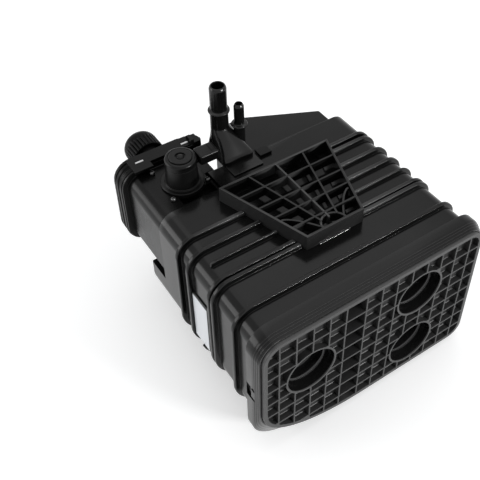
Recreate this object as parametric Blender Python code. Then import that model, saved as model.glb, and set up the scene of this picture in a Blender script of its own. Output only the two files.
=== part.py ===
"""Charcoal canister: welded plastic case with a ribbed cover, carbon chambers and top fittings.

Metres. Design axes: x from the cover's left edge, y from the cover's face to the rear, z from its lower edge.
The last step moves everything so that the origin is at the middle of the underside.
"""
import math

import bmesh
import bpy
from mathutils import Matrix, Vector

for old in list(bpy.data.objects):
    bpy.data.objects.remove(old, do_unlink=True)

# Fit between touching pieces
GAP = 0.0003

# Cover and case section
WIDTH = 0.2202
HEIGHT = 0.1404
RADIUS_TOP = 0.0172
RADIUS_RIGHT = 0.0140
SWEEP = (0.1014, 0.0534)

# How far the case and its collar stand past the cover on the right and below, and their lower left sweeps
CASE_RIGHT = 0.0024
CASE_LOW = 0.0020
CASE_SWEEP = (0.0900, 0.0480)
RIB_RIGHT = 0.0014
RIB_LOW = 0.0010
RIB_SWEEP = (0.0950, 0.0505)
COLLAR_RIGHT = 0.0044
COLLAR_LOW = 0.0055
COLLAR_SWEEP = (0.0540, 0.0360)

# Case along its depth
CASE_BACK = 0.1895
WALL = 0.0025
BODY_INSET = 0.0018
RIB_OUT = 0.0024
COLLAR_OUT = 0.0026
COLLAR_FRONT = 0.0031
COLLAR_EDGE = 0.0126
COLLAR_BACK = 0.0212
RIB_WIDE = 0.0044
RIB_DRAFT = 0.0003
RIB_FRONTS = (0.0379, 0.0684, 0.0738, 0.0915, 0.1072, 0.1246, 0.1436, 0.1515)
SHORT_RIB = 3
PAIR_FRONT = 0.1436
PAIR_BACK = 0.1559
BAND_END = 0.0700
PAD_X = 0.0006
PAD_Y = (0.0830, 0.1078)
PAD_Z = (0.0420, 0.1010)

# Cover
COVER_DEEP = 0.0076
CELL_DEEP = 0.0054
CELL_RIB = 0.0015
RIM = 0.0038
STRIP_DEEP = 0.0120
COLUMN_FIRST = 0.01435
COLUMN_PITCH = 0.0156
COLUMNS_BEFORE_STRIP = 5
STRIP_WIDE = 0.0198
ROW_FIRST = 0.0162
ROW_PITCH = 0.0173
POCKET_LEFT_X = 0.0451
POCKET_RIGHT_EDGE = 0.0651
POCKET_LEFT_DROP = 0.0575
POCKET_UPPER_DROP = 0.0389
POCKET_LOWER_Z = 0.0334
POCKET_RADIUS = 0.0226
POCKET_RING = 0.0017
CUP_DEEP = 0.0230
CUP_FLOOR = 0.0130

# Chambers
PARTITION_X = 0.0867
PARTITION_Z = 0.0674
PARTITION_FRONT = 0.0250
PLATE_FRONT = 0.0400
PLATE_THICK = 0.0040
FLEECE = 0.0030
CHAMBER_BACK = 0.1870
LEFT_BACK = 0.1590

# Upper left recess and the filter housing in it
RECESS_FRONT = 0.1635
RECESS_RIGHT = 0.0665
RECESS_FLOOR = 0.0600
HOUSING_LEFT = 0.0022
HOUSING_CORNER = 0.0135
HOUSING_INNER_CORNER = 0.0022
LUG_RIGHT = 0.0740
LUG_BACK = 0.2070
EAR_RIGHT = 0.0815
EAR_TALL = 0.0324
HOUSING_DROP = 0.0030
HOUSING_BACK = 0.2250
FLANGE_OUT = 0.0058
FLANGE_BACK = 0.2430
NECK_X = 0.0356
NECK_DROP = 0.0048
CAP_RADIUS = 0.0165
PIT_LEFT = 0.0293
PIT_BACK = 0.1778
PIT_DEEP = 0.0070
STRIP_THICK = 0.0022
SLOT_Y = (0.2279, 0.2306)
SLOT_X = ((0.0149, 0.0236), (0.0617, 0.0695))

# Rear chamber with its slanted back
WEDGE_LEFT = 0.1050
WEDGE_RIGHT = 0.2050
WEDGE_TURN = 0.1380
WEDGE_BACK_LEFT = 0.2420
WEDGE_BACK_TURN = 0.2402
WEDGE_BACK_RIGHT = 0.2075
WEDGE_DROP = 0.0040
WEDGE_FLOOR = 0.0420

# Lattice bracket
BRACKET_MIDDLE = 0.1138
BRACKET_FRONT = 0.0638
BRACKET_BACK = 0.1520
BRACKET_HALF_FRONT = 0.0288
BRACKET_HALF_BACK = 0.0576
BRACKET_TALL = 0.0150
BRACKET_WALL = 0.0022
BRACKET_RIB = 0.0016
BRACKET_ROWS = (0.0796, 0.0967, 0.1126, 0.1321)

# Valve
VALVE_X = 0.0424
VALVE_Y = 0.1922
VALVE_RADIUS = 0.0139
VALVE_RING = 0.0195
VALVE_TALL = 0.0305
SCREWS = ((-0.0183, -0.0163), (-0.0176, 0.0238), (0.0194, -0.0110))
PLUG_RIGHT = 0.0762
PLUG_Y = (0.1822, 0.1974)
PLUG_TALL = 0.0106

# Hose fitting
FITTING_LEFT = 0.0822
FITTING_RIGHT = 0.1136
FITTING_FRONT = 0.1834
FITTING_BACK = 0.2180
FITTING_TALL = 0.0285
SKIRT = 0.0052
PLATE_FRONT_Y = 0.1700
PLATE_TALL = 0.0014
PORT_X = 0.0967
PORT_Y = 0.1862
PORT_RADIUS = 0.0016
CHANNEL_LOW = 0.0016
CHANNEL_HIGH = 0.0040
BORE_LOW = 0.0028
BIG_NIPPLE = (0.0932, 0.2100)
SMALL_NIPPLE = (0.1075, 0.1992)
BIG_RADIUS = 0.0079
SMALL_RADIUS = 0.00475
BIG_TIP = 0.0087
SMALL_TIP = 0.0055
BIG_BORE = 0.0056
SMALL_BORE = 0.0028
BIG_BEAD = 0.0100
SMALL_BEAD = 0.0076
BIG_TALL = 0.0726
SMALL_TALL = 0.0535
BIG_BEAD_DROP = 0.0267
SMALL_BEAD_DROP = 0.0227
TAB_X = (0.1165, 0.1290)
TAB_Y = (0.1785, 0.1890)
TAB_TALL = 0.0030

# Heights and places that follow from the sizes above
top_z = HEIGHT - BODY_INSET
housing_top = HEIGHT - HOUSING_DROP
ear_low = housing_top - EAR_TALL
neck_z = housing_top - NECK_DROP
wedge_top = HEIGHT - WEDGE_DROP
big_top = top_z + BIG_TALL
small_top = top_z + SMALL_TALL
strip_left = COLUMN_FIRST + (COLUMNS_BEFORE_STRIP - 1) * COLUMN_PITCH
strip_right = strip_left + STRIP_WIDE
columns = [COLUMN_FIRST + k * COLUMN_PITCH for k in range(COLUMNS_BEFORE_STRIP)]
columns += [strip_right + k * COLUMN_PITCH for k in range(int((WIDTH - strip_right) / COLUMN_PITCH) + 1)]
rows = [ROW_FIRST + k * ROW_PITCH for k in range(int((HEIGHT - ROW_FIRST) / ROW_PITCH) + 1)]
pockets = {
    "left": (POCKET_LEFT_X, HEIGHT - POCKET_LEFT_DROP),
    "upper": (WIDTH - POCKET_RIGHT_EDGE, HEIGHT - POCKET_UPPER_DROP),
    "lower": (WIDTH - POCKET_RIGHT_EDGE, POCKET_LOWER_Z),
}


def material(name, colour, rough):
    made = bpy.data.materials.new(name)
    made.use_nodes = True
    shader = made.node_tree.nodes["Principled BSDF"]
    shader.inputs["Base Color"].default_value = (*colour, 1.0)
    shader.inputs["Roughness"].default_value = rough
    return made


BLACK = (0.016, 0.016, 0.017)


def add(name, bm, colour=BLACK, rough=0.4, angle=35.0):
    bmesh.ops.remove_doubles(bm, verts=bm.verts, dist=1e-6)
    bmesh.ops.recalc_face_normals(bm, faces=bm.faces)
    mesh = bpy.data.meshes.new(name)
    bm.to_mesh(mesh)
    bm.free()
    obj = bpy.data.objects.new(name, mesh)
    bpy.context.scene.collection.objects.link(obj)
    mesh.materials.append(material(name, colour, rough))
    for face in mesh.polygons:
        face.use_smooth = True
    mesh.set_sharp_from_angle(angle=math.radians(angle))
    return obj


def box(bm, x0, x1, y0, y1, z0, z1):
    corners = [bm.verts.new((x, y, z)) for z in (z0, z1) for y in (y0, y1) for x in (x0, x1)]
    for a, b, c, d in ((0, 2, 3, 1), (4, 5, 7, 6), (0, 1, 5, 4), (1, 3, 7, 5), (3, 2, 6, 7), (2, 0, 4, 6)):
        bm.faces.new((corners[a], corners[b], corners[c], corners[d]))


def loft(bm, rings, close=True):
    """Skin a list of rings with equal point counts; close=False joins the last ring to the first."""
    made = [[bm.verts.new(p) for p in ring] for ring in rings]
    count = len(made[0])
    pairs = list(zip(made, made[1:])) if close else list(zip(made, made[1:] + made[:1]))
    for low, high in pairs:
        for i in range(count):
            j = (i + 1) % count
            bm.faces.new((low[i], low[j], high[j], high[i]))
    if close:
        bm.faces.new(made[0][::-1])
        bm.faces.new(made[-1])


def lathe(bm, profile, centre, axis, steps):
    """Turn (radius, height) pairs about an axis through centre; a first and last radius of 0 are closed."""
    turn = Vector((0, 0, 1)).rotation_difference(Vector(axis)).to_matrix()
    rings = []
    for radius, height in profile:
        if radius <= 0:
            rings.append([bm.verts.new(Vector(centre) + turn @ Vector((0, 0, height)))])
            continue
        ring = []
        for i in range(steps):
            a = 2 * math.pi * i / steps
            ring.append(bm.verts.new(Vector(centre) + turn @ Vector((radius * math.cos(a),
                                                                    radius * math.sin(a), height))))
        rings.append(ring)
    whole = rings[0] and (len(rings[0]) > 1 and len(rings[-1]) > 1)
    pairs = list(zip(rings, rings[1:]))
    if whole:
        pairs.append((rings[-1], rings[0]))
    for low, high in pairs:
        for i in range(steps):
            j = (i + 1) % steps
            if len(low) == 1:
                bm.faces.new((low[0], high[j], high[i]))
            elif len(high) == 1:
                bm.faces.new((low[i], low[j], high[0]))
            else:
                bm.faces.new((low[i], low[j], high[j], high[i]))


def tube(bm, path, radius, steps):
    """Round bar along a path of points with its ends closed."""
    rings = []
    side = (Vector(path[1]) - Vector(path[0])).orthogonal().normalized()
    for i, point in enumerate(path):
        before = path[max(i - 1, 0)]
        after = path[min(i + 1, len(path) - 1)]
        along = (Vector(after) - Vector(before)).normalized()
        side = (side - along * side.dot(along)).normalized()
        up = along.cross(side).normalized()
        rings.append([Vector(point) + radius * (side * math.cos(a) + up * math.sin(a))
                      for a in (2 * math.pi * k / steps for k in range(steps))])
    loft(bm, rings)


def cut(base, *tools, mode="DIFFERENCE"):
    """Apply solid boolean cuts or joins to an object in order, and keep its shading."""
    for tool in tools:
        step = base.modifiers.new("cut", "BOOLEAN")
        step.operation = mode
        step.solver = "EXACT"
        step.object = tool
        graph = bpy.context.evaluated_depsgraph_get()
        mesh = bpy.data.meshes.new_from_object(base.evaluated_get(graph))
        base.modifiers.remove(step)
        name = base.name
        base.data = mesh
        base.data.name = name
        bpy.data.objects.remove(tool, do_unlink=True)
    bm = bmesh.new()
    bm.from_mesh(base.data)
    bmesh.ops.remove_doubles(bm, verts=bm.verts, dist=2e-6)
    bmesh.ops.dissolve_degenerate(bm, dist=2e-6, edges=bm.edges)
    bmesh.ops.dissolve_limit(bm, angle_limit=math.radians(0.5), verts=bm.verts, edges=bm.edges)
    bm.to_mesh(base.data)
    bm.free()
    keep = base.data.materials[0]
    base.data.materials.clear()
    base.data.materials.append(keep)
    for face in base.data.polygons:
        face.use_smooth = True
        face.material_index = 0
    base.data.set_sharp_from_angle(angle=math.radians(35.0))
    return base


def drop_small(obj, least):
    """Remove loose islands of an object that hold less than a least volume."""
    bm = bmesh.new()
    bm.from_mesh(obj.data)
    todo = set(bm.faces)
    while todo:
        island = set()
        edge = [todo.pop()]
        while edge:
            face = edge.pop()
            island.add(face)
            for side in face.edges:
                for other in side.link_faces:
                    if other in todo:
                        todo.discard(other)
                        edge.append(other)
        volume = 0.0
        for face in island:
            centre = face.calc_center_median()
            volume += centre.dot(face.normal) * face.calc_area() / 3
        if abs(volume) < least:
            bmesh.ops.delete(bm, geom=list(island), context="FACES")
    bmesh.ops.delete(bm, geom=[v for v in bm.verts if not v.link_faces], context="VERTS")
    bm.to_mesh(obj.data)
    bm.free()


def shape(build):
    """Scratch solid for a cut or join."""
    bm = bmesh.new()
    build(bm)
    return add("tool", bm)


FORMS = {
    "cover": (0.0, 0.0, SWEEP),
    "case": (CASE_RIGHT, CASE_LOW, CASE_SWEEP),
    "rib": (RIB_RIGHT, RIB_LOW, RIB_SWEEP),
    "collar": (COLLAR_RIGHT, COLLAR_LOW, COLLAR_SWEEP),
}


def outline(off, y, form="cover"):
    """Section of the cover, case or collar, moved outward by off, as points at depth y."""
    more_right, more_low, sweep = FORMS[form]
    points = []
    left, right, low, high = -off, WIDTH + off + more_right, -off - more_low, HEIGHT + off
    r = max(RADIUS_TOP + off, 0.002)
    for k in range(6):
        a = math.pi - k * math.pi / 10
        points.append((left + r + r * math.cos(a), y, high - r + r * math.sin(a)))
    r = max(RADIUS_TOP + off - 0.0016, 0.002)
    for k in range(6):
        a = math.pi / 2 - k * math.pi / 10
        points.append((right - r + r * math.cos(a), y, high - r + r * math.sin(a)))
    r = max(RADIUS_RIGHT + off, 0.002)
    for k in range(5):
        a = -k * math.pi / 8
        points.append((right - r + r * math.cos(a), y, low + r + r * math.sin(a)))
    wide, tall = sweep[0] + off, sweep[1] + off
    for k in range(10):
        a = -math.pi / 2 - k * math.pi / 18
        points.append((left + wide + wide * math.cos(a), y, low + tall + tall * math.sin(a)))
    return points


def rounded(x0, x1, z0, z1, r, r_right, y, steps=4):
    """Rectangle with one corner radius on the left and another on the right, at depth y."""
    points = []
    for cx, cz, r, start in ((x0 + r, z1 - r, r, 180), (x1 - r_right, z1 - r_right, r_right, 90),
                             (x1 - r_right, z0 + r_right, r_right, 0), (x0 + r, z0 + r, r, -90)):
        for k in range(steps + 1):
            a = math.radians(start - 90 * k / steps)
            points.append((cx + r * math.cos(a), y, cz + r * math.sin(a)))
    return points


# Case: collar, ribs, rear chamber, then the chambers cut out
def case_outside(bm):
    rings = [outline(0.0018, COLLAR_FRONT), outline(COLLAR_OUT, COLLAR_EDGE, "collar"),
             outline(COLLAR_OUT, COLLAR_BACK, "collar"), outline(-BODY_INSET, COLLAR_BACK + 0.0006, "case")]
    rows = []
    for i, front in enumerate(RIB_FRONTS):
        wide = RIB_WIDE - 0.0014 if i == SHORT_RIB else RIB_WIDE
        rows += [(front, -BODY_INSET), (front + RIB_DRAFT, RIB_OUT), (front + wide - RIB_DRAFT, RIB_OUT),
                 (front + wide, -BODY_INSET)]
    rows += [(CASE_BACK - 0.0012, -BODY_INSET), (CASE_BACK, -BODY_INSET - 0.0012)]
    loft(bm, rings + [outline(off, y, "rib" if off > 0 else "case") for y, off in rows])


case = shape(case_outside)
case.name = "case"


def wedge(bm, inset, floor, top, front):
    plan = [(WEDGE_LEFT + inset, front), (WEDGE_RIGHT - inset, front),
            (WEDGE_RIGHT - inset, WEDGE_BACK_RIGHT - inset), (WEDGE_TURN, WEDGE_BACK_TURN - inset),
            (WEDGE_LEFT + inset, WEDGE_BACK_LEFT - inset)]
    loft(bm, [[(x, y, floor) for x, y in plan], [(x, y, top) for x, y in plan]])


cut(case, shape(lambda bm: wedge(bm, 0.0, WEDGE_FLOOR, wedge_top, CASE_BACK - 0.004)), mode="UNION")

inner = -BODY_INSET - WALL


def crop(points, x0, x1, z0, z1):
    """Clip a closed outline to a rectangle."""
    kept = [(x, z) for x, _, z in points]
    for axis, limit, sign in ((0, x0, 1), (0, x1, -1), (1, z0, 1), (1, z1, -1)):
        result = []
        for i, now in enumerate(kept):
            last = kept[i - 1]
            now_in = sign * (now[axis] - limit) >= 0
            last_in = sign * (last[axis] - limit) >= 0
            if now_in != last_in:
                t = (limit - last[axis]) / (now[axis] - last[axis])
                result.append((last[0] + t * (now[0] - last[0]), last[1] + t * (now[1] - last[1])))
            if now_in:
                result.append(now)
        kept = result
    clean = []
    for point in kept:
        if not clean or (Vector(point) - Vector(clean[-1])).length > 3e-4:
            clean.append(point)
    if len(clean) > 1 and (Vector(clean[0]) - Vector(clean[-1])).length < 3e-4:
        clean.pop()
    return clean


def chamber(bm, x0, x1, z0, z1, y0, y1, form="case"):
    """Part of the inner section between x and z limits."""
    ring = crop(outline(inner, 0, form), x0, x1, z0, z1)
    loft(bm, [[(x, y, z) for x, z in ring] for y in (y0, y1)])


half = WALL / 2
far = 1.0
rooms = {
    "left": (-far, PARTITION_X - half, -far, far, LEFT_BACK),
    "upper": (PARTITION_X + half, far, PARTITION_Z + half, far, CHAMBER_BACK),
    "lower": (PARTITION_X + half, far, -far, PARTITION_Z - half, CHAMBER_BACK),
}
for x0, x1, z0, z1, back in rooms.values():
    cut(case, shape(lambda bm: chamber(bm, x0, x1, z0, z1, PARTITION_FRONT - 0.001, back)))
cut(case, shape(lambda bm: chamber(bm, -far, far, -far, far, COLLAR_FRONT - 0.005, PARTITION_FRONT, "cover")))
cut(case, shape(lambda bm: loft(bm, [outline(GAP, COLLAR_FRONT - 0.005),
                                     outline(GAP, COVER_DEEP + GAP)])))

# Recess for the filter housing, hollow foot below it and hollow rear chamber
cut(case,
    shape(lambda bm: box(bm, -0.02, RECESS_RIGHT, RECESS_FRONT, 0.3, RECESS_FLOOR, 0.2)),
    shape(lambda bm: chamber(bm, 0.0, PARTITION_X - half, 0.0, RECESS_FLOOR - WALL - 0.002,
                             LEFT_BACK - 0.001, CHAMBER_BACK - 0.0025)),
    shape(lambda bm: wedge(bm, WALL, WEDGE_FLOOR + WALL, wedge_top - WALL, CASE_BACK)),
    shape(lambda bm: box(bm, 0.150, 0.180, CHAMBER_BACK - 0.005, CASE_BACK + 0.003, 0.085, 0.115)))


# Port under the hose fitting and port in the recess wall
def port(bm, x, y, z, radius, deep):
    lathe(bm, [(0, -deep), (radius, -deep), (radius, 0.004), (0, 0.004)], (x, y, z), (0, 0, 1), 16)


cut(case,
    shape(lambda bm: port(bm, PORT_X, PORT_Y, top_z, PORT_RADIUS, 0.006)),
    shape(lambda bm: lathe(bm, [(0, -0.008), (0.009, -0.008), (0.009, 0.008), (0, 0.008)],
                           (0.036, RECESS_FRONT, 0.100), (0, 1, 0), 16)))

# Smooth band with no ribs on the upper left, and a flat clear of ribs under the bracket
rib_band = shape(lambda bm: loft(bm, [outline(0.02, PAIR_FRONT - 0.001, "case"),
                                      outline(0.02, PAIR_BACK + 0.001, "case"),
                                      outline(-BODY_INSET - 0.00003, PAIR_BACK + 0.001, "case"),
                                      outline(-BODY_INSET - 0.00003, PAIR_FRONT - 0.001, "case")],
                                 close=False))
cut(rib_band, shape(lambda bm: box(bm, BAND_END, 0.5, 0.0, 0.3, -0.2, 0.4)))
cut(case, rib_band)


def half_at(y):
    """Half width of the bracket at depth y."""
    t = (y - BRACKET_FRONT) / (BRACKET_BACK - BRACKET_FRONT)
    return BRACKET_HALF_FRONT + t * (BRACKET_HALF_BACK - BRACKET_HALF_FRONT)


def bracket_plan(margin):
    front, back = BRACKET_FRONT - margin, BRACKET_BACK + margin
    return [(BRACKET_MIDDLE - half_at(front) - margin, front), (BRACKET_MIDDLE + half_at(front) + margin, front),
            (BRACKET_MIDDLE + half_at(back) + margin, back), (BRACKET_MIDDLE - half_at(back) - margin, back)]


cut(case, shape(lambda bm: loft(bm, [[(x, y, z) for x, y in bracket_plan(0.0006)] for z in (top_z, top_z + 0.02)])))

# Raised flat for the label across the short rib
cut(case, shape(lambda bm: box(bm, -0.02, PAD_X, *PAD_Y, *PAD_Z)))
cut(case, shape(lambda bm: box(bm, PAD_X, 0.0040, *PAD_Y, *PAD_Z)), mode="UNION")

# Snap hooks in windows on both sides of the collar
for side, (low_z, high_z) in enumerate(((0.0665, 0.0830), (0.0400, 0.0560))):
    skin = -COLLAR_OUT if side == 0 else WIDTH + COLLAR_RIGHT + COLLAR_OUT
    inward = 1 if side == 0 else -1
    edges = sorted((skin - inward * 0.002, skin + inward * 0.0016))
    cut(case, shape(lambda bm: box(bm, *edges, 0.0098, 0.0205, low_z, high_z)))
    hook = sorted((skin + inward * 0.0006, skin + inward * 0.0024))
    cut(case, shape(lambda bm: box(bm, *hook, 0.0090, 0.0150, low_z + 0.0020, high_z - 0.0042)), mode="UNION")


# Cover: plate, three cups and the deep strip, with the lattice cut in
def cover_plate(bm):
    loft(bm, [outline(-0.0004, 0.0), outline(0.0, 0.0004), outline(0.0, COVER_DEEP)])


cover = shape(cover_plate)
cover.name = "cover"


def cup_outside(bm, x, z):
    lathe(bm, [(0, CUP_DEEP), (CUP_FLOOR + 0.002, CUP_DEEP), (0.0195, CUP_DEEP - 0.004),
               (POCKET_RADIUS + POCKET_RING - 0.0010, COVER_DEEP), (POCKET_RADIUS + POCKET_RING - 0.0010, 0.001),
               (0, 0.001)], (x, 0, z), (0, 1, 0), 24)


def cup_inside(bm, x, z):
    lathe(bm, [(0, CUP_DEEP - 0.002), (CUP_FLOOR, CUP_DEEP - 0.002), (0.0172, CUP_DEEP - 0.005),
               (0.0186, 0.0105), (0.0208, 0.0090), (POCKET_RADIUS, -0.001), (0, -0.001)],
          (x, 0, z), (0, 1, 0), 24)


cut(cover, shape(lambda bm: box(bm, strip_left - 0.001, strip_right + 0.001, COVER_DEEP - 0.003,
                                STRIP_DEEP + 0.002, 0.012, HEIGHT - 0.012)), mode="UNION")


def cell_area(points):
    return abs(sum(a[0] * b[1] - b[0] * a[1] for a, b in zip(points, points[1:] + points[:1]))) / 2


def lattice(bm):
    xs = [-1.0] + columns + [2.0]
    zs = [-1.0] + rows + [2.0]
    edge = outline(-RIM, 0)
    for i in range(len(xs) - 1):
        for j in range(len(zs) - 1):
            cell = crop(edge, xs[i] + CELL_RIB / 2, xs[i + 1] - CELL_RIB / 2,
                        zs[j] + CELL_RIB / 2, zs[j + 1] - CELL_RIB / 2)
            if len(cell) < 3 or cell_area(cell) < 1.2e-5:
                continue
            deep = STRIP_DEEP if i == COLUMNS_BEFORE_STRIP else CELL_DEEP
            loft(bm, [[(x, -0.001, z) for x, z in cell], [(x, deep, z) for x, z in cell]])


cells = shape(lattice)
for x, z in pockets.values():
    cut(cells, shape(lambda bm: lathe(bm, [(0, -0.002), (POCKET_RADIUS + POCKET_RING, -0.002),
                                           (POCKET_RADIUS + POCKET_RING, 0.020), (0, 0.020)],
                                      (x, 0, z), (0, 1, 0), 24)))
drop_small(cells, 6e-8)
for x, z in pockets.values():
    cut(cover, shape(lambda bm: cup_outside(bm, x, z)), mode="UNION")
cut(cover, cells)
for x, z in pockets.values():
    cut(cover, shape(lambda bm: cup_inside(bm, x, z)))


# Carbon beds with a fleece at each end, a pressure plate and a spring in each chamber
def layer(name, room, y0, y1, shrink, colour, rough):
    x0, x1, z0, z1, _ = rooms[room]
    bm = bmesh.new()
    ring = crop(outline(inner - shrink, 0, "case"), x0 + shrink if x0 > 0 else x0, x1 - shrink if x1 < 0.5 else x1,
                z0 + shrink if z0 > 0 else z0, z1 - shrink if z1 < 0.5 else z1)
    loft(bm, [[(x, y, z) for x, z in ring] for y in (y0, y1)])
    return add(name, bm, colour, rough)


for room, (x, z) in pockets.items():
    back = rooms[room][4]
    plate = layer("plate_" + room, room, PLATE_FRONT, PLATE_FRONT + PLATE_THICK, 0.0006, (0.05, 0.05, 0.05), 0.5)
    cut(plate, shape(lambda bm: [box(bm, x + dx - 0.0035, x + dx + 0.0035, PLATE_FRONT - 0.001,
                                     PLATE_FRONT + PLATE_THICK + 0.001, z + dz - 0.0022, z + dz + 0.0022)
                                 for dx in (-0.010, 0.010) for dz in (-0.010, 0.010)]))
    y0 = PLATE_FRONT + PLATE_THICK + GAP
    layer("fleece_front_" + room, room, y0, y0 + FLEECE, 0.0005, (0.55, 0.55, 0.52), 0.95)
    layer("carbon_" + room, room, y0 + FLEECE + GAP, back - FLEECE - 2 * GAP, 0.0005, (0.02, 0.02, 0.02), 0.9)
    layer("fleece_back_" + room, room, back - FLEECE - GAP, back - GAP, 0.0005, (0.55, 0.55, 0.52), 0.95)
    bm = bmesh.new()
    turns, per_turn, wire = 2.5, 8, 0.0011
    first, last = COVER_DEEP + wire + GAP + 0.0004, PLATE_FRONT - wire - GAP - 0.0004
    total = int(turns * per_turn)
    path = []
    for k in range(total + 1):
        a = 2 * math.pi * k / per_turn
        rise = min(max((k - 3) / (total - 6), 0.0), 1.0)
        path.append((x + 0.0262 * math.cos(a), first + (last - first) * rise, z + 0.0262 * math.sin(a)))
    tube(bm, path, wire, 4)
    add("spring_" + room, bm, (0.55, 0.55, 0.56), 0.3)

# Filter housing, its lid with the neck, the filter inside and the vent cap
lid_y = HOUSING_BACK + GAP


def housing_ring(off, y):
    return rounded(HOUSING_LEFT - off, RECESS_RIGHT - 0.0012 + off, RECESS_FLOOR + GAP + 0.001 - off,
                   housing_top + off, HOUSING_CORNER + off, max(HOUSING_INNER_CORNER + off, 0.0008), y)


housing = shape(lambda bm: loft(bm, [housing_ring(0.0, RECESS_FRONT + GAP), housing_ring(0.0, HOUSING_BACK - 0.0020),
                                     housing_ring(FLANGE_OUT - 0.0006, HOUSING_BACK - 0.0018),
                                     housing_ring(FLANGE_OUT - 0.0006, HOUSING_BACK)]))
housing.name = "filter_housing"
cut(housing, shape(lambda bm: box(bm, 0.0500, LUG_RIGHT, CASE_BACK + 0.0010, LUG_BACK, 0.1150, housing_top - 0.0002)),
    mode="UNION")
cut(housing,
    shape(lambda bm: loft(bm, [housing_ring(-WALL, RECESS_FRONT + WALL), housing_ring(-WALL, HOUSING_BACK + 0.01)])),
    shape(lambda bm: lathe(bm, [(0, -0.008), (0.008, -0.008), (0.008, 0.008), (0, 0.008)],
                           (0.036, RECESS_FRONT, 0.100), (0, 1, 0), 16)),
    shape(lambda bm: port(bm, VALVE_X, VALVE_Y, housing_top, 0.0070, 0.006)))

# Well in the housing beside the valve seat, with its own floor and walls
well_right = RECESS_RIGHT - 0.0012 - WALL
seat = VALVE_RING + 0.0006


def well(bm, grow, floor, top):
    """Block of the well, grown outward by grow."""
    box(bm, PIT_LEFT - grow, well_right + grow, RECESS_FRONT + WALL - grow + 0.0002, PIT_BACK + grow, floor, top)


liner = shape(lambda bm: well(bm, WALL - 0.0003, housing_top - PIT_DEEP - WALL, housing_top - 0.0005))
cut(housing, liner, mode="UNION")
hollow = shape(lambda bm: well(bm, 0.0, housing_top - PIT_DEEP, housing_top + 0.01))
cut(hollow, shape(lambda bm: lathe(bm, [(0, -0.03), (seat, -0.03), (seat, 0.03), (0, 0.03)],
                                   (VALVE_X, VALVE_Y, housing_top), (0, 0, 1), 20)))
cut(housing, hollow)

lid = shape(lambda bm: loft(bm, [housing_ring(FLANGE_OUT, lid_y), housing_ring(FLANGE_OUT, lid_y + 0.0040),
                                 housing_ring(FLANGE_OUT - 0.0012, lid_y + 0.0044),
                                 housing_ring(FLANGE_OUT - 0.0012, lid_y + 0.0080),
                                 housing_ring(FLANGE_OUT - 0.0002, lid_y + 0.0084),
                                 housing_ring(FLANGE_OUT - 0.0002, FLANGE_BACK - 0.0030),
                                 housing_ring(FLANGE_OUT - 0.0020, FLANGE_BACK)]))
lid.name = "filter_lid"
cut(lid, shape(lambda bm: box(bm, 0.0550, EAR_RIGHT, lid_y, FLANGE_BACK - 0.0032, ear_low,
                              housing_top + FLANGE_OUT - 0.0004)), mode="UNION")
cut(lid, shape(lambda bm: lathe(bm, [(0, FLANGE_BACK - 0.004), (0.0120, FLANGE_BACK - 0.004),
                                     (0.0120, FLANGE_BACK + 0.009), (0, FLANGE_BACK + 0.009)],
                                (NECK_X, 0, neck_z), (0, 1, 0), 16)), mode="UNION")
cut(lid,
    shape(lambda bm: loft(bm, [housing_ring(-WALL, lid_y - 0.01), housing_ring(-WALL, FLANGE_BACK - 0.0030)])),
    shape(lambda bm: lathe(bm, [(0, FLANGE_BACK - 0.02), (0.0095, FLANGE_BACK - 0.02),
                                (0.0095, FLANGE_BACK + 0.02), (0, FLANGE_BACK + 0.02)],
                           (NECK_X, 0, neck_z), (0, 1, 0), 16)))

bm = bmesh.new()
loft(bm, [housing_ring(-WALL - 0.0006, RECESS_FRONT + 0.030), housing_ring(-WALL - 0.0006, HOUSING_BACK - 0.006)])
add("filter_element", bm, (0.62, 0.58, 0.48), 0.9)


def vent_cap(bm):
    """Cup over the neck with flutes round its rim end and a domed closed end."""
    count = 22
    rows = ((FLANGE_BACK + GAP, 1.0, 0.0007), (FLANGE_BACK + 0.0150, 1.0, 0.0007), (FLANGE_BACK + 0.0154, 1.0, 0.0),
            (FLANGE_BACK + 0.0215, 0.97, 0.0), (FLANGE_BACK + 0.0260, 0.84, 0.0), (FLANGE_BACK + 0.0285, 0.60, 0.0),
            (FLANGE_BACK + 0.0295, 0.25, 0.0))
    centre = Vector((NECK_X, 0, neck_z))
    rings = []
    for radius, y in ((CAP_RADIUS - 0.002, FLANGE_BACK + 0.018), (CAP_RADIUS - 0.002, FLANGE_BACK + GAP)):
        rings.append([centre + Vector((radius * math.cos(2 * math.pi * k / count), y,
                                       radius * math.sin(2 * math.pi * k / count))) for k in range(count)])
    for y, grow, flute in rows:
        rings.append([centre + Vector(((CAP_RADIUS * grow - flute * (k % 2)) * math.cos(2 * math.pi * k / count), y,
                                       (CAP_RADIUS * grow - flute * (k % 2)) * math.sin(2 * math.pi * k / count)))
                      for k in range(count)])
    loft(bm, rings)


bm = bmesh.new()
vent_cap(bm)
add("vent_cap", bm, BLACK, 0.35)

# Strip with two slots on top of the flange
strip_z = housing_top + FLANGE_OUT + GAP
strip_plan = [(0.0095, 0.2174), (0.0275, 0.2172), (0.0275, 0.2243), (0.0805, 0.2243), (0.0816, 0.2270),
              (0.0800, 0.2325), (0.0760, 0.2358), (0.0690, 0.2374), (0.0130, 0.2382), (0.0092, 0.2345)]
strip = shape(lambda bm: loft(bm, [[(x, y, z) for x, y in strip_plan] for z in (strip_z, strip_z + STRIP_THICK)]))
strip.name = "lock_strip"
for x0, x1 in SLOT_X:
    cut(strip, shape(lambda bm: box(bm, x0, x1, *SLOT_Y, strip_z - 0.01, strip_z + 0.01)))

# Natural plastic lugs that catch in the two slots
for side, (x0, x1) in zip(("left", "right"), SLOT_X):
    bm = bmesh.new()
    box(bm, x0 + GAP, x1 - GAP, SLOT_Y[0] + GAP, SLOT_Y[1] - GAP, strip_z, strip_z + STRIP_THICK - 0.0002)
    add("lug_" + side, bm, (0.8, 0.8, 0.78), 0.4)

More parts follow.
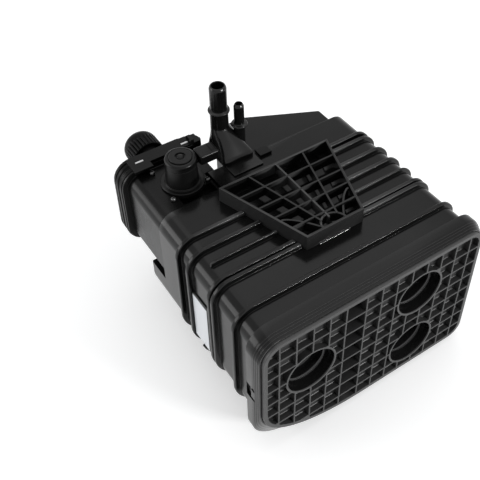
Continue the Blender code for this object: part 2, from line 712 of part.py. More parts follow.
# Valve with its ring, cap, connector, seal and three screws
base = housing_top + GAP
bm = bmesh.new()
lathe(bm, [(0.0075, 0.0), (VALVE_RING, 0.0), (VALVE_RING, 0.0022), (VALVE_RADIUS + 0.0018, 0.0022), (VALVE_RADIUS + 0.0018, 0.0036), (0.0075, 0.0036)],
      (VALVE_X, VALVE_Y, base), (0, 0, 1), 20)
add("valve_ring", bm, BLACK, 0.45)

bm = bmesh.new()
bottom = base + 0.0036 + GAP
lathe(bm, [(0.0055, 0.0), (VALVE_RADIUS + 0.0010, 0.0), (VALVE_RADIUS, 0.0180), (VALVE_RADIUS - 0.0040, 0.0180),
           (VALVE_RADIUS - 0.0040, 0.0030), (0.0055, 0.0030)], (VALVE_X, VALVE_Y, bottom), (0, 0, 1), 20)
add("valve_body", bm, BLACK, 0.4)

bm = bmesh.new()
cap_z = bottom + 0.0180 + GAP
cap_top = base + VALVE_TALL - cap_z
lathe(bm, [(0, 0.0), (VALVE_RADIUS + 0.0003, 0.0), (VALVE_RADIUS + 0.0003, cap_top - 0.0040),
           (VALVE_RADIUS - 0.0012, cap_top - 0.0014), (0.0112, cap_top - 0.0004), (0.0104, cap_top - 0.0012),
           (0.0096, cap_top - 0.0002), (0.0048, cap_top), (0.0036, cap_top - 0.0010), (0.0024, cap_top - 0.0010),
           (0.0018, cap_top + 0.0002), (0, cap_top + 0.0004)], (VALVE_X, VALVE_Y, cap_z), (0, 0, 1), 20)
add("valve_cap", bm, BLACK, 0.35)

bm = bmesh.new()
lathe(bm, [(0.0058, 0.0), (0.0071, 0.0), (0.0071, 0.0022), (0.0058, 0.0022)],
      (VALVE_X, VALVE_Y, base + 0.0003), (0, 0, 1), 12)
add("valve_seal", bm, (0.02, 0.02, 0.02), 0.7)

plug_left = VALVE_X + VALVE_RADIUS + 0.0004 + GAP
plug_low = base + VALVE_TALL - 0.0022 - PLUG_TALL
plug = shape(lambda bm: box(bm, plug_left, PLUG_RIGHT, *PLUG_Y, plug_low, plug_low + PLUG_TALL))
plug.name = "valve_connector"
cut(plug, shape(lambda bm: box(bm, plug_left + 0.0055, PLUG_RIGHT + 0.001, PLUG_Y[0] + WALL, PLUG_Y[1] - WALL,
                               plug_low + 0.0020, plug_low + PLUG_TALL - 0.0020)))

for index, (dx, dy) in enumerate(SCREWS):
    bm = bmesh.new()
    lathe(bm, [(0, 0.0), (0.0024, 0.0), (0.0024, 0.0022), (0.0016, 0.0030), (0, 0.0030)],
          (VALVE_X + dx, VALVE_Y + dy, base), (0, 0, 1), 8)
    add("valve_screw_%d" % (index + 1), bm, (0.35, 0.35, 0.36), 0.35)

# Hose fitting: chute that runs up from the case top into the large stub, and the small stub beside it
foot = top_z + GAP
throat = foot + FITTING_TALL


def chute(bm):
    """Skin from a rounded rectangle on the case top to the circle under the large stub."""
    steps = 16
    cx, cy = (FITTING_LEFT + FITTING_RIGHT) / 2, (FITTING_FRONT + FITTING_BACK) / 2
    wide, deep = (FITTING_RIGHT - FITTING_LEFT) / 2, (FITTING_BACK - FITTING_FRONT) / 2
    rings = []
    slope = FITTING_TALL - SKIRT
    for t, z in ((0.0, foot), (0.0, foot + SKIRT), (0.40, foot + SKIRT + slope * 0.40),
                 (0.70, foot + SKIRT + slope * 0.70), (1.0, throat)):
        square = max(0.0, 1.0 - t * 1.1)
        ring = []
        for k in range(steps):
            a = 2 * math.pi * (k + 0.5) / steps
            c, s = math.cos(a), math.sin(a)
            flat = 1.0 / max(abs(c), abs(s))
            reach = square * flat + (1.0 - square)
            x = cx + (BIG_NIPPLE[0] - cx) * t + (wide + ((BIG_RADIUS + 0.0005) - wide) * t) * c * reach
            y = cy + (BIG_NIPPLE[1] - cy) * t + (deep + ((BIG_RADIUS + 0.0005) - deep) * t) * s * reach
            ring.append((min(max(x, FITTING_LEFT), FITTING_RIGHT), min(max(y, FITTING_FRONT), FITTING_BACK), z))
        rings.append(ring)
    loft(bm, rings)


def nipple(bm, x, y, low, high, radius, tip, bead_z, bead):
    lathe(bm, [(0, low), (radius + 0.0005, low), (radius + 0.0005, bead_z - 0.0010), (bead, bead_z - 0.0010),
               (bead, bead_z + 0.0010), (radius, bead_z + 0.0010), (radius, high - 0.0045), (tip, high - 0.0030),
               (radius - 0.0006, high), (0, high)], (x, y, 0), (0, 0, 1), 14)


fitting = shape(chute)
fitting.name = "hose_fitting"
cut(fitting,
    shape(lambda bm: box(bm, FITTING_LEFT + 0.0010, FITTING_RIGHT + 0.0006, PLATE_FRONT_Y, CASE_BACK - 0.0010,
                         foot, foot + PLATE_TALL)),
    shape(lambda bm: nipple(bm, *BIG_NIPPLE, throat - 0.0040, big_top, BIG_RADIUS, BIG_TIP,
                            big_top - BIG_BEAD_DROP, BIG_BEAD)),
    shape(lambda bm: nipple(bm, *SMALL_NIPPLE, foot + 0.0090, small_top, SMALL_RADIUS, SMALL_TIP,
                            small_top - SMALL_BEAD_DROP, SMALL_BEAD)),
    mode="UNION")
channel_low = foot + CHANNEL_LOW
channel_high = foot + CHANNEL_HIGH
cut(fitting,
    shape(lambda bm: tube(bm, [(*BIG_NIPPLE, big_top + 0.01), (*BIG_NIPPLE, foot + BORE_LOW)], BIG_BORE, 12)),
    shape(lambda bm: tube(bm, [(*SMALL_NIPPLE, small_top + 0.01), (*SMALL_NIPPLE, foot + BORE_LOW)],
                          SMALL_BORE, 10)),
    shape(lambda bm: box(bm, PORT_X - PORT_RADIUS, PORT_X + PORT_RADIUS, PORT_Y - PORT_RADIUS * 0.6,
                         BIG_NIPPLE[1], channel_low, channel_high)),
    shape(lambda bm: box(bm, PORT_X, SMALL_NIPPLE[0], SMALL_NIPPLE[1] - 0.0014, SMALL_NIPPLE[1] + 0.0014,
                         channel_low, channel_high - 0.0004)),
    shape(lambda bm: port(bm, PORT_X, PORT_Y, foot, PORT_RADIUS, 0.004)))

# Lattice bracket
foot_z = top_z + GAP
crown = foot_z + BRACKET_TALL


def wall_between(bm, a, b, thick, z0, z1):
    a, b = Vector(a), Vector(b)
    side = Vector((-(b - a).y, (b - a).x)).normalized() * thick / 2
    ring = [a + side, a - side, b - side, b + side]
    loft(bm, [[(p.x, p.y, z) for p in ring] for z in (z0, z1)])


def bracket_frame(bm):
    loft(bm, [[(x, y, z) for x, y in bracket_plan(0.0)] for z in (foot_z, crown)])


bracket = shape(bracket_frame)
bracket.name = "bracket"


def bracket_hollow(bm, flange, z0, z1):
    y0, y1 = BRACKET_FRONT + BRACKET_WALL, BRACKET_BACK - BRACKET_WALL
    ring = [(-half_at(y0) + flange, y0), (half_at(y0) - flange, y0), (half_at(y1) - flange, y1),
            (-half_at(y1) + flange, y1)]
    loft(bm, [[(BRACKET_MIDDLE + x, y, z) for x, y in ring] for z in (z0, z1)])


rib_low = foot_z + 0.0050
cut(bracket,
    shape(lambda bm: bracket_hollow(bm, BRACKET_WALL, foot_z + 0.0016, crown + 0.01)),
    shape(lambda bm: bracket_hollow(bm, BRACKET_WALL + 0.0085, foot_z - 0.01, crown + 0.02)))
boss_y = BRACKET_FRONT + 0.0012
joins = []
for y in BRACKET_ROWS:
    joins.append(shape(lambda bm: wall_between(bm, (BRACKET_MIDDLE - half_at(y) + 0.001, y),
                                               (BRACKET_MIDDLE + half_at(y) - 0.001, y), BRACKET_RIB, rib_low, crown)))
for end in (-0.5, 0.0, 0.5):
    joins.append(shape(lambda bm: wall_between(bm, (BRACKET_MIDDLE + end * 0.016, boss_y + 0.008),
                                               (BRACKET_MIDDLE + end * half_at(BRACKET_BACK),
                                                BRACKET_BACK - 0.001), BRACKET_RIB, rib_low, crown - 0.0002)))
cut(bracket, *joins, mode="UNION")
joins = []
for sign in (-1, 1):
    last = None
    for k in range(4):
        t = k / 3
        here = (BRACKET_MIDDLE + sign * (0.0345 - 0.0245 * t), 0.0920 - 0.0260 * (t ** 1.5))
        if last is not None:
            joins.append(shape(lambda bm: wall_between(bm, last, here, BRACKET_RIB, rib_low, crown - 0.0012)))
        last = here
cut(bracket, *joins, mode="UNION")
ring_points = [(BRACKET_MIDDLE + 0.0118 * math.cos(math.pi * k / 6), boss_y + 0.0118 * math.sin(math.pi * k / 6))
               for k in range(7)]
cut(bracket, *[shape(lambda bm: wall_between(bm, a, b, BRACKET_RIB + 0.0002, rib_low, crown - 0.0006))
               for a, b in zip(ring_points, ring_points[1:])], mode="UNION")
cut(bracket, shape(lambda bm: box(bm, BRACKET_MIDDLE - 0.0165, BRACKET_MIDDLE + 0.0150, BRACKET_FRONT - 0.0012,
                                  BRACKET_FRONT + 0.001, foot_z, foot_z + 0.0012)), mode="UNION")

# Clip tab on the top and the blank label on the left side
bm = bmesh.new()
box(bm, *TAB_X, *TAB_Y, top_z + GAP, top_z + TAB_TALL)
add("clip_tab", bm, BLACK, 0.4)

bm = bmesh.new()
box(bm, PAD_X - GAP - 0.00015, PAD_X - GAP, PAD_Y[0] + 0.0012, PAD_Y[1] - 0.0008, PAD_Z[0] + 0.0020, PAD_Z[1] - 0.0020)
add("label", bm, (0.85, 0.85, 0.86), 0.5)

# Origin at the middle of the underside
bpy.context.view_layer.update()
low = Vector((1e9, 1e9, 1e9))
high = -low
for obj in bpy.context.scene.objects:
    for vertex in obj.data.vertices:
        for k in range(3):
            low[k] = min(low[k], vertex.co[k])
            high[k] = max(high[k], vertex.co[k])
shift = Matrix.Translation((-(low.x + high.x) / 2, -(low.y + high.y) / 2, -low.z))
for obj in bpy.context.scene.objects:
    obj.data.transform(shift)
    obj.data.update()
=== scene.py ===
"""Looks of the charcoal canister: finely rounded mouldings and plastic, felt and metal finishes."""

import math

import bmesh
import bpy
from mathutils import Matrix, Vector


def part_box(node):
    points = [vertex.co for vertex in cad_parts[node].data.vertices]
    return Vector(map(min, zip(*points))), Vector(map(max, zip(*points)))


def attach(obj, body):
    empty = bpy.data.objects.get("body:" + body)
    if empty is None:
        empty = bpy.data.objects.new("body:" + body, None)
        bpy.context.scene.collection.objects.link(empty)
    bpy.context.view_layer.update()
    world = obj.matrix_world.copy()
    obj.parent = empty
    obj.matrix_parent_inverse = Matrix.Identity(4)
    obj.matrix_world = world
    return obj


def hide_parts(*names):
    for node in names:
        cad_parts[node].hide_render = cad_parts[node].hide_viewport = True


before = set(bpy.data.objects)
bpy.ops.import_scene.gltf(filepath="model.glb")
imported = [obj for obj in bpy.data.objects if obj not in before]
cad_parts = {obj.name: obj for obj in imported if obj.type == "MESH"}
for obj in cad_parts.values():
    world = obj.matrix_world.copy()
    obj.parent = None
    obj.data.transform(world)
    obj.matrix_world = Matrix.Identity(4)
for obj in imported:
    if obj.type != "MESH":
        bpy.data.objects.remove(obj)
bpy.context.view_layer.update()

# Design axes: x from the cover's left edge, y from the cover's face to the rear, z from its lower edge
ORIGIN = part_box("cover")[0]

GAP = 0.0003
WIDTH = 0.2202
HEIGHT = 0.1404
RADIUS_TOP = 0.0172
RADIUS_RIGHT = 0.0140
RADIUS_TIGHTER = 0.0016
BODY_INSET = 0.0018
WALL = 0.0025
RIB_OUT = 0.0024
COLLAR_OUT = 0.0026
COLLAR_FRONT = 0.0031
COLLAR_EDGE = 0.0126
COLLAR_BACK = 0.0212
COLLAR_SIDE = 0.0019
RIDGES = (0.0054, 0.0079, 0.0101)
RIB_WIDE = 0.0044
RIB_FOOT = 0.0005
RIB_CREST = 0.0010
RIB_FRONTS = (0.0379, 0.0684, 0.0738, 0.0915, 0.1072, 0.1246, 0.1436, 0.1515)
SHORT_RIB = 3
SHORT_RIB_LESS = 0.0014
SHORT_RIB_LEFT = 0.0120
SHORT_RIB_LOW = 0.0450
PAIR_RIBS = (6, 7)
BAND_END = 0.0700
CASE_BACK = 0.1895
BACK_ROUND = 0.0014
COVER_DEEP = 0.0076
FORMS = {
    "cover": (0.0, 0.0, 0.1014, 0.0534),
    "case": (0.0024, 0.0020, 0.0900, 0.0480),
    "rib": (0.0014, 0.0010, 0.0950, 0.0505),
    "collar": (0.0044, 0.0055, 0.0540, 0.0360),
}
TOP_Z = HEIGHT - BODY_INSET
INNER = -BODY_INSET - WALL
Y_AXIS = (0, 1, 0)
EIGHTHS = (0.0, math.pi / 8, math.pi / 4, 3 * math.pi / 8, math.pi / 2)


# Mesh helpers
def box(bm, x0, x1, y0, y1, z0, z1):
    corners = [bm.verts.new((x, y, z)) for z in (z0, z1) for y in (y0, y1) for x in (x0, x1)]
    for a, b, c, d in ((0, 2, 3, 1), (4, 5, 7, 6), (0, 1, 5, 4), (1, 3, 7, 5), (3, 2, 6, 7), (2, 0, 4, 6)):
        bm.faces.new((corners[a], corners[b], corners[c], corners[d]))


def loft(bm, rings):
    """Skin a list of rings with equal point counts and close both ends."""
    made = [[bm.verts.new(p) for p in ring] for ring in rings]
    count = len(made[0])
    for low, high in zip(made, made[1:]):
        for i in range(count):
            j = (i + 1) % count
            bm.faces.new((low[i], low[j], high[j], high[i]))
    bm.faces.new(made[0][::-1])
    bm.faces.new(made[-1])


def lathe(bm, profile, centre, axis, steps, flutes=None):
    """Turn (radius, height) pairs about an axis; a profile that starts and ends off the axis makes a ring."""
    turn = Vector((0, 0, 1)).rotation_difference(Vector(axis)).to_matrix()
    rings = []
    for row, (radius, height) in enumerate(profile):
        if radius <= 0:
            rings.append([bm.verts.new(Vector(centre) + turn @ Vector((0, 0, height)))])
            continue
        ring = []
        for i in range(steps):
            a = 2 * math.pi * i / steps
            r = radius + (flutes(row, a) if flutes else 0.0)
            spot = Vector((r * math.cos(a), r * math.sin(a), height))
            ring.append(bm.verts.new(Vector(centre) + turn @ spot))
        rings.append(ring)
    pairs = list(zip(rings, rings[1:]))
    if len(rings[0]) > 1 and len(rings[-1]) > 1:
        pairs.append((rings[-1], rings[0]))
    for low, high in pairs:
        for i in range(steps):
            j = (i + 1) % steps
            if len(low) == 1:
                bm.faces.new((low[0], high[j], high[i]))
            elif len(high) == 1:
                bm.faces.new((low[i], low[j], high[0]))
            else:
                bm.faces.new((low[i], low[j], high[j], high[i]))


def arc(cx, cy, r, a0, a1, n):
    """Points of an arc in degrees, ends included."""
    return [(cx + r * math.cos(math.radians(a0 + (a1 - a0) * k / n)),
             cy + r * math.sin(math.radians(a0 + (a1 - a0) * k / n))) for k in range(n + 1)]


def solid(build):
    bm = bmesh.new()
    build(bm)
    bmesh.ops.remove_doubles(bm, verts=bm.verts, dist=1e-6)
    bmesh.ops.recalc_face_normals(bm, faces=bm.faces)
    mesh = bpy.data.meshes.new("tool")
    bm.to_mesh(mesh)
    bm.free()
    obj = bpy.data.objects.new("tool", mesh)
    bpy.context.scene.collection.objects.link(obj)
    return obj


def block(*sides):
    """Box as a solid, from its x, y and z ranges."""
    return solid(lambda bm: box(bm, *sides))


def turned(profile, centre, axis=(0, 0, 1), steps=64):
    return solid(lambda bm: lathe(bm, profile, centre, axis, steps))


def rod(radius, low, high, centre, axis=(0, 0, 1), steps=64):
    """Cylinder between two heights along an axis."""
    return turned([(0, low), (radius, low), (radius, high), (0, high)], centre, axis, steps)


def prism(plan, low, high):
    """Upright solid over a plan of (x, y) points."""
    return solid(lambda bm: loft(bm, [[(x, y, z) for x, y in plan] for z in (low, high)]))


def bake_modifiers(obj):
    graph = bpy.context.evaluated_depsgraph_get()
    mesh = bpy.data.meshes.new_from_object(obj.evaluated_get(graph))
    obj.modifiers.clear()
    obj.data = mesh


def cut(base, *tools, mode="DIFFERENCE"):
    for tool in tools:
        step = base.modifiers.new("cut", "BOOLEAN")
        step.operation = mode
        step.solver = "EXACT"
        step.object = tool
        bake_modifiers(base)
        bpy.data.objects.remove(tool, do_unlink=True)


def join(base, *tools):
    cut(base, *tools, mode="UNION")


def round_edges(obj, width, angle, segments):
    """Round every crease of a solid sharper than an angle."""
    bm = bmesh.new()
    bm.from_mesh(obj.data)
    bmesh.ops.remove_doubles(bm, verts=bm.verts, dist=3e-6)
    bmesh.ops.dissolve_limit(bm, angle_limit=math.radians(0.4), verts=bm.verts, edges=bm.edges)
    bm.to_mesh(obj.data)
    bm.free()
    step = obj.modifiers.new("edge", "BEVEL")
    step.width = width
    step.segments = segments
    step.limit_method = "ANGLE"
    step.angle_limit = math.radians(angle)
    step.use_clamp_overlap = True
    step.harden_normals = False
    bake_modifiers(obj)


def finish_piece(obj, name, mat, replaces, angle=34.0):
    """Move a piece into the row frame, shade it and tie it to the part."""
    obj.name = name
    obj.data.name = name
    obj.data.transform(Matrix.Translation(ORIGIN))
    obj.data.materials.clear()
    obj.data.materials.append(mat)
    for face in obj.data.polygons:
        face.use_smooth = True
        face.material_index = 0
    obj.data.set_sharp_from_angle(angle=math.radians(angle))
    even = obj.modifiers.new("even shading", "WEIGHTED_NORMAL")
    even.keep_sharp = True
    even.weight = 50
    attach(obj, "root")
    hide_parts(*replaces)


# Materials
class Graph:
    """Short way to build one material's nodes."""

    def __init__(self, name):
        self.mat = bpy.data.materials.new(name)
        self.mat.use_nodes = True
        self.tree = self.mat.node_tree
        self.shader = self.tree.nodes["Principled BSDF"]
        self.coords = self.node("ShaderNodeTexCoord").outputs["Object"]

    def node(self, kind, **values):
        made = self.tree.nodes.new(kind)
        for key, value in values.items():
            setattr(made, key, value)
        return made

    def link(self, a, b):
        self.tree.links.new(a, b)

    def noise(self, scale, detail, rough=0.5, stretch=None):
        coords = self.coords
        if stretch:
            mapping = self.node("ShaderNodeMapping")
            mapping.inputs["Scale"].default_value = stretch
            self.link(coords, mapping.inputs["Vector"])
            coords = mapping.outputs["Vector"]
        made = self.node("ShaderNodeTexNoise")
        made.inputs["Scale"].default_value = scale
        made.inputs["Detail"].default_value = detail
        made.inputs["Roughness"].default_value = rough
        self.link(coords, made.inputs["Vector"])
        return made.outputs["Fac"]

    def spread(self, value, a0, a1, b0, b1):
        made = self.node("ShaderNodeMapRange")
        for slot, number in zip((1, 2, 3, 4), (a0, a1, b0, b1)):
            made.inputs[slot].default_value = number
        self.link(value, made.inputs[0])
        return made.outputs[0]

    def blend(self, fac, low, high):
        made = self.node("ShaderNodeMix", data_type="RGBA")
        self.link(fac, made.inputs[0])
        for slot, colour in ((6, low), (7, high)):
            if isinstance(colour, tuple):
                made.inputs[slot].default_value = (*colour, 1.0)
            else:
                self.link(colour, made.inputs[slot])
        return made.outputs[2]

    def math(self, operation, a, b):
        made = self.node("ShaderNodeMath", operation=operation)
        for slot, value in enumerate((a, b)):
            if isinstance(value, float):
                made.inputs[slot].default_value = value
            else:
                self.link(value, made.inputs[slot])
        return made.outputs[0]

    def bump(self, height, distance, strength=1.0, before=None):
        made = self.node("ShaderNodeBump")
        made.inputs["Strength"].default_value = strength
        made.inputs["Distance"].default_value = distance
        self.link(height, made.inputs["Height"])
        if before is not None:
            self.link(before, made.inputs["Normal"])
        return made.outputs["Normal"]

    def out(self, colour=None, rough=None, normal=None):
        for key, value in (("Base Color", colour), ("Roughness", rough), ("Normal", normal)):
            if value is not None:
                self.link(value, self.shader.inputs[key])
        return self.mat


def plastic(name, tone, rough, dust=0.0, grain=0.00004, wave=0.00025, ior=1.36, edge_highlight_tone=None):
    """Moulded plastic: fine spark grain, slow sink waves, painted highlights on convex edges and a little
    dust on upper faces.
    """
    g = Graph(name)
    g.shader.inputs["IOR"].default_value = ior
    cloud = g.noise(28.0, 3.0)
    fine = g.noise(2600.0, 2.0)
    deep = (tone * 0.8, tone * 0.8, tone * 0.82)
    pale = (tone * 1.25, tone * 1.25, tone * 1.22)
    colour = g.blend(cloud, deep, pale)
    geometry = g.node("ShaderNodeNewGeometry")
    # Convex edges, found by pointiness, are painted lighter: a painted highlight along every edge
    painted_edge_highlight = g.spread(geometry.outputs["Pointiness"], 0.53, 0.60, 0.0, 0.7)
    edge_highlight_tone = edge_highlight_tone or min(tone * 4.0, 0.9)
    colour = g.blend(painted_edge_highlight, colour, (edge_highlight_tone, edge_highlight_tone, edge_highlight_tone))
    split = g.node("ShaderNodeSeparateXYZ")
    g.link(geometry.outputs["Normal"], split.inputs[0])
    up = g.spread(split.outputs["Z"], 0.6, 1.0, 0.0, 1.0)
    specks = g.spread(g.noise(900.0, 4.0, 0.7), 0.70, 0.76, 0.0, 1.0)
    film = g.spread(g.noise(60.0, 4.0, 0.65), 0.35, 0.75, 0.0, 0.35)
    laid = g.math("MULTIPLY", g.math("MAXIMUM", specks, film), up)
    colour = g.blend(g.math("MULTIPLY", laid, dust * 0.10), colour, (0.36, 0.35, 0.33))
    marks = g.noise(7.0, 5.0, 0.6, stretch=(1.0, 6.0, 1.0))
    mottle = g.math("ADD", g.math("MULTIPLY", cloud, 0.5), g.math("MULTIPLY", marks, 0.5))
    roughness = g.spread(mottle, 0.35, 0.68, rough[0], rough[1])
    waves = g.bump(g.noise(34.0, 1.0), wave, 0.30)
    return g.out(colour, roughness, g.bump(fine, grain, 0.55, waves))


def felt(name, low, high):
    g = Graph(name)
    hairs = g.noise(1800.0, 6.0, 0.75, stretch=(1.0, 0.25, 1.0))
    g.shader.inputs["Sheen Weight"].default_value = 0.3
    g.shader.inputs["Roughness"].default_value = 0.95
    colour = g.blend(g.spread(hairs, 0.35, 0.65, 0.0, 1.0), low, high)
    return g.out(colour, None, g.bump(hairs, 0.0004, 0.8))


def steel(name, tone, rough):
    g = Graph(name)
    g.shader.inputs["Metallic"].default_value = 1.0
    brushed = g.noise(400.0, 4.0, 0.6, stretch=(1.0, 1.0, 12.0))
    deep = (tone * 0.75, tone * 0.75, tone * 0.77)
    pale = (tone * 1.1, tone * 1.1, tone * 1.08)
    colour = g.blend(brushed, deep, pale)
    roughness = g.spread(brushed, 0.3, 0.7, rough * 0.8, rough * 1.3)
    return g.out(colour, roughness, g.bump(brushed, 0.00003, 0.6))


def granules(name):
    g = Graph(name)
    cells = g.node("ShaderNodeTexVoronoi")
    cells.inputs["Scale"].default_value = 420.0
    g.link(g.coords, cells.inputs["Vector"])
    # Darker away from each lump's centre towards the gaps: painted shade between the granules; the same value
    # lowers the bump there
    painted_gap_shade = g.spread(cells.outputs["Distance"], 0.0, 0.6, 0.0, 1.0)
    g.shader.inputs["Roughness"].default_value = 0.8
    lumps = g.math("SUBTRACT", 1.0, painted_gap_shade)
    colour = g.blend(painted_gap_shade, (0.03, 0.03, 0.03), (0.006, 0.006, 0.006))
    return g.out(colour, None, g.bump(lumps, 0.0012, 1.0))


def printed_film(name):
    g = Graph(name)
    weave = g.noise(600.0, 3.0)
    colour = g.blend(weave, (0.78, 0.80, 0.84), (0.87, 0.89, 0.92))
    g.shader.inputs["Coat Weight"].default_value = 0.2
    roughness = g.spread(weave, 0.3, 0.7, 0.35, 0.5)
    return g.out(colour, roughness, g.bump(weave, 0.00003, 0.4))


case_mat = plastic("case moulded plastic", tone=0.004, rough=(0.13, 0.22), dust=0.10, grain=0.00001,
                   wave=0.00012, ior=1.28, edge_highlight_tone=0.12)
cover_mat = plastic("cover moulded plastic", tone=0.024, rough=(0.38, 0.48), dust=0.15, wave=0.0001,
                    ior=1.45)
polished_mat = plastic("polished plastic", tone=0.006, rough=(0.06, 0.12), grain=0.00001, wave=0.00003,
                       ior=1.42)
housing_mat = plastic("housing moulded plastic", tone=0.002, rough=(0.20, 0.30), ior=1.24)
lid_mat = plastic("lid moulded plastic", tone=0.002, rough=(0.26, 0.36), ior=1.17)
cap_mat = plastic("cap moulded plastic", tone=0.002, rough=(0.30, 0.40), wave=0.0001, ior=1.16)
bracket_mat = plastic("bracket moulded plastic", tone=0.005, rough=(0.16, 0.26), dust=0.1, wave=0.0001,
                      edge_highlight_tone=0.06)
valve_mat = plastic("valve moulded plastic", tone=0.002, rough=(0.26, 0.36), dust=0.05, wave=0.00005,
                    ior=1.28)
fitting_mat = plastic("fitting moulded plastic", tone=0.004, rough=(0.16, 0.26), dust=0.1, wave=0.00003)
inner_mat = plastic("plate moulded plastic", tone=0.05, rough=(0.5, 0.6))
rubber_mat = plastic("seal rubber", tone=0.018, rough=(0.6, 0.75), grain=0.00006, wave=0.00002)
fleece_mat = felt("needled fleece", (0.42, 0.42, 0.40), (0.62, 0.62, 0.59))
filter_mat = felt("filter felt", (0.48, 0.44, 0.34), (0.68, 0.63, 0.52))
spring_mat = steel("spring wire", 0.55, 0.25)
screw_mat = steel("zinc screw", 0.10, 0.35)
lug_mat = plastic("natural plastic", tone=0.62, rough=(0.35, 0.45), wave=0.00002)
carbon_mat = granules("carbon granules")
film_mat = printed_film("label film")


def polish(obj, inside):
    """Give the faces of a finished piece that lie inside a region the polished plastic."""
    obj.data.materials.append(polished_mat)
    for face in obj.data.polygons:
        if inside(face.center - Vector(ORIGIN)):
            face.material_index = 1


# Section of the case
def section(off, y, form="cover", other=None, t=0.0):
    """Section moved outward by off as points at depth y; t blends one form into another."""
    right, low, wide, tall = FORMS[form]
    if other:
        right, low, wide, tall = [a + (b - a) * t for a, b in zip(FORMS[form], FORMS[other])]
    x0, x1, z0, z1 = -off, WIDTH + off + right, -off - low, HEIGHT + off
    r = RADIUS_TOP + off
    points = arc(x0 + r, z1 - r, r, 180, 90, 12)
    points += [(BAND_END - 0.0004, z1), (BAND_END, z1)]
    r = RADIUS_TOP + off - RADIUS_TIGHTER
    points += arc(x1 - r, z1 - r, r, 90, 0, 12)
    r = RADIUS_RIGHT + off
    points += arc(x1 - r, z0 + r, r, 0, -90, 10)
    wide, tall = wide + off, tall + off
    for k in range(29):
        a = -math.pi / 2 - k * math.pi / 56
        points.append((x0 + wide + wide * math.cos(a), z0 + tall + tall * math.sin(a)))
    return [(x, y, z) for x, z in points]


def crop(points, x0, x1, z0, z1):
    """Clip a closed outline to a rectangle."""
    kept = [(p[0], p[-1]) for p in points]
    for axis, limit, sign in ((0, x0, 1), (0, x1, -1), (1, z0, 1), (1, z1, -1)):
        result = []
        for i, now in enumerate(kept):
            last = kept[i - 1]
            now_in = sign * (now[axis] - limit) >= 0
            last_in = sign * (last[axis] - limit) >= 0
            if now_in != last_in:
                t = (limit - last[axis]) / (now[axis] - last[axis])
                result.append((last[0] + t * (now[0] - last[0]), last[1] + t * (now[1] - last[1])))
            if now_in:
                result.append(now)
        kept = result
    clean = []
    for point in kept:
        if not clean or math.dist(point, clean[-1]) > 1e-4:
            clean.append(point)
    if len(clean) > 1 and math.dist(clean[0], clean[-1]) < 1e-4:
        clean.pop()
    return clean


def rib_ring(index, off, y):
    """Ring of one rib, level with the body where that rib is missing on the left."""
    t = min(max((off + BODY_INSET) / (RIB_OUT + BODY_INSET), 0.0), 1.0)
    ring = []
    for full, flat in zip(section(off, y, "case", "rib", t), section(-BODY_INSET, y, "case")):
        pair_gone = index in PAIR_RIBS and flat[0] < BAND_END - 0.0002
        short_gone = index == SHORT_RIB and flat[0] < SHORT_RIB_LEFT and flat[2] > SHORT_RIB_LOW
        ring.append(flat if pair_gone or short_gone else full)
    return ring


# Case with filleted ribs
def case_outside(bm):
    rings = [section(off, y) for y, off in
             ((COLLAR_FRONT, 0.0004), (COLLAR_FRONT, 0.0014), (COLLAR_FRONT + 0.0001, 0.0017),
              (COLLAR_FRONT + 0.0004, COLLAR_SIDE))]
    slope = (COLLAR_OUT - COLLAR_SIDE) / (COLLAR_EDGE - COLLAR_FRONT)
    ridge = ((-0.0004, -0.0001), (-0.0002, 0.0), (0.0, 0.00022), (0.0003, 0.00022), (0.0005, -0.0001))
    for y, more in [(middle + step, more) for middle in RIDGES for step, more in ridge]:
        t = (y - COLLAR_FRONT) / (COLLAR_EDGE - COLLAR_FRONT)
        rings.append(section(COLLAR_SIDE + slope * (y - COLLAR_FRONT) + more, y, "cover", "collar", t))
    rings += [section(off, y, "collar") for y, off in
              ((COLLAR_EDGE - 0.0002, COLLAR_OUT - 0.0002), (COLLAR_EDGE + 0.0002, COLLAR_OUT),
               (COLLAR_BACK - 0.0010, COLLAR_OUT), (COLLAR_BACK - 0.0004, COLLAR_OUT - 0.0002),
               (COLLAR_BACK - 0.0001, COLLAR_OUT - 0.0007), (COLLAR_BACK, COLLAR_OUT - 0.0014))]
    rings += [section(off, y, "collar", "case", t) for y, off, t in
              ((COLLAR_BACK + 0.0001, -BODY_INSET + 0.0010, 0.8),
               (COLLAR_BACK + 0.0004, -BODY_INSET + 0.0003, 1.0), (COLLAR_BACK + 0.0011, -BODY_INSET, 1.0))]
    for i, front in enumerate(RIB_FRONTS):
        back = front + (RIB_WIDE - SHORT_RIB_LESS if i == SHORT_RIB else RIB_WIDE)
        rise = [(front - RIB_FOOT, -BODY_INSET), (front - RIB_FOOT * 0.3, -BODY_INSET + RIB_FOOT * 0.3),
                (front, -BODY_INSET + RIB_FOOT), (front + 0.0003, RIB_OUT - RIB_CREST)]
        rise += [(front + 0.0003 + RIB_CREST - RIB_CREST * math.cos(a),
                  RIB_OUT - RIB_CREST + RIB_CREST * math.sin(a)) for a in EIGHTHS[1:]]
        rings += [rib_ring(i, off, y) for y, off in rise]
        rings += [rib_ring(i, off, front + back - y) for y, off in reversed(rise)]
    rings += [section(-BODY_INSET - BACK_ROUND + BACK_ROUND * math.cos(a),
                      CASE_BACK - BACK_ROUND + BACK_ROUND * math.sin(a), "case") for a in EIGHTHS]
    loft(bm, rings)


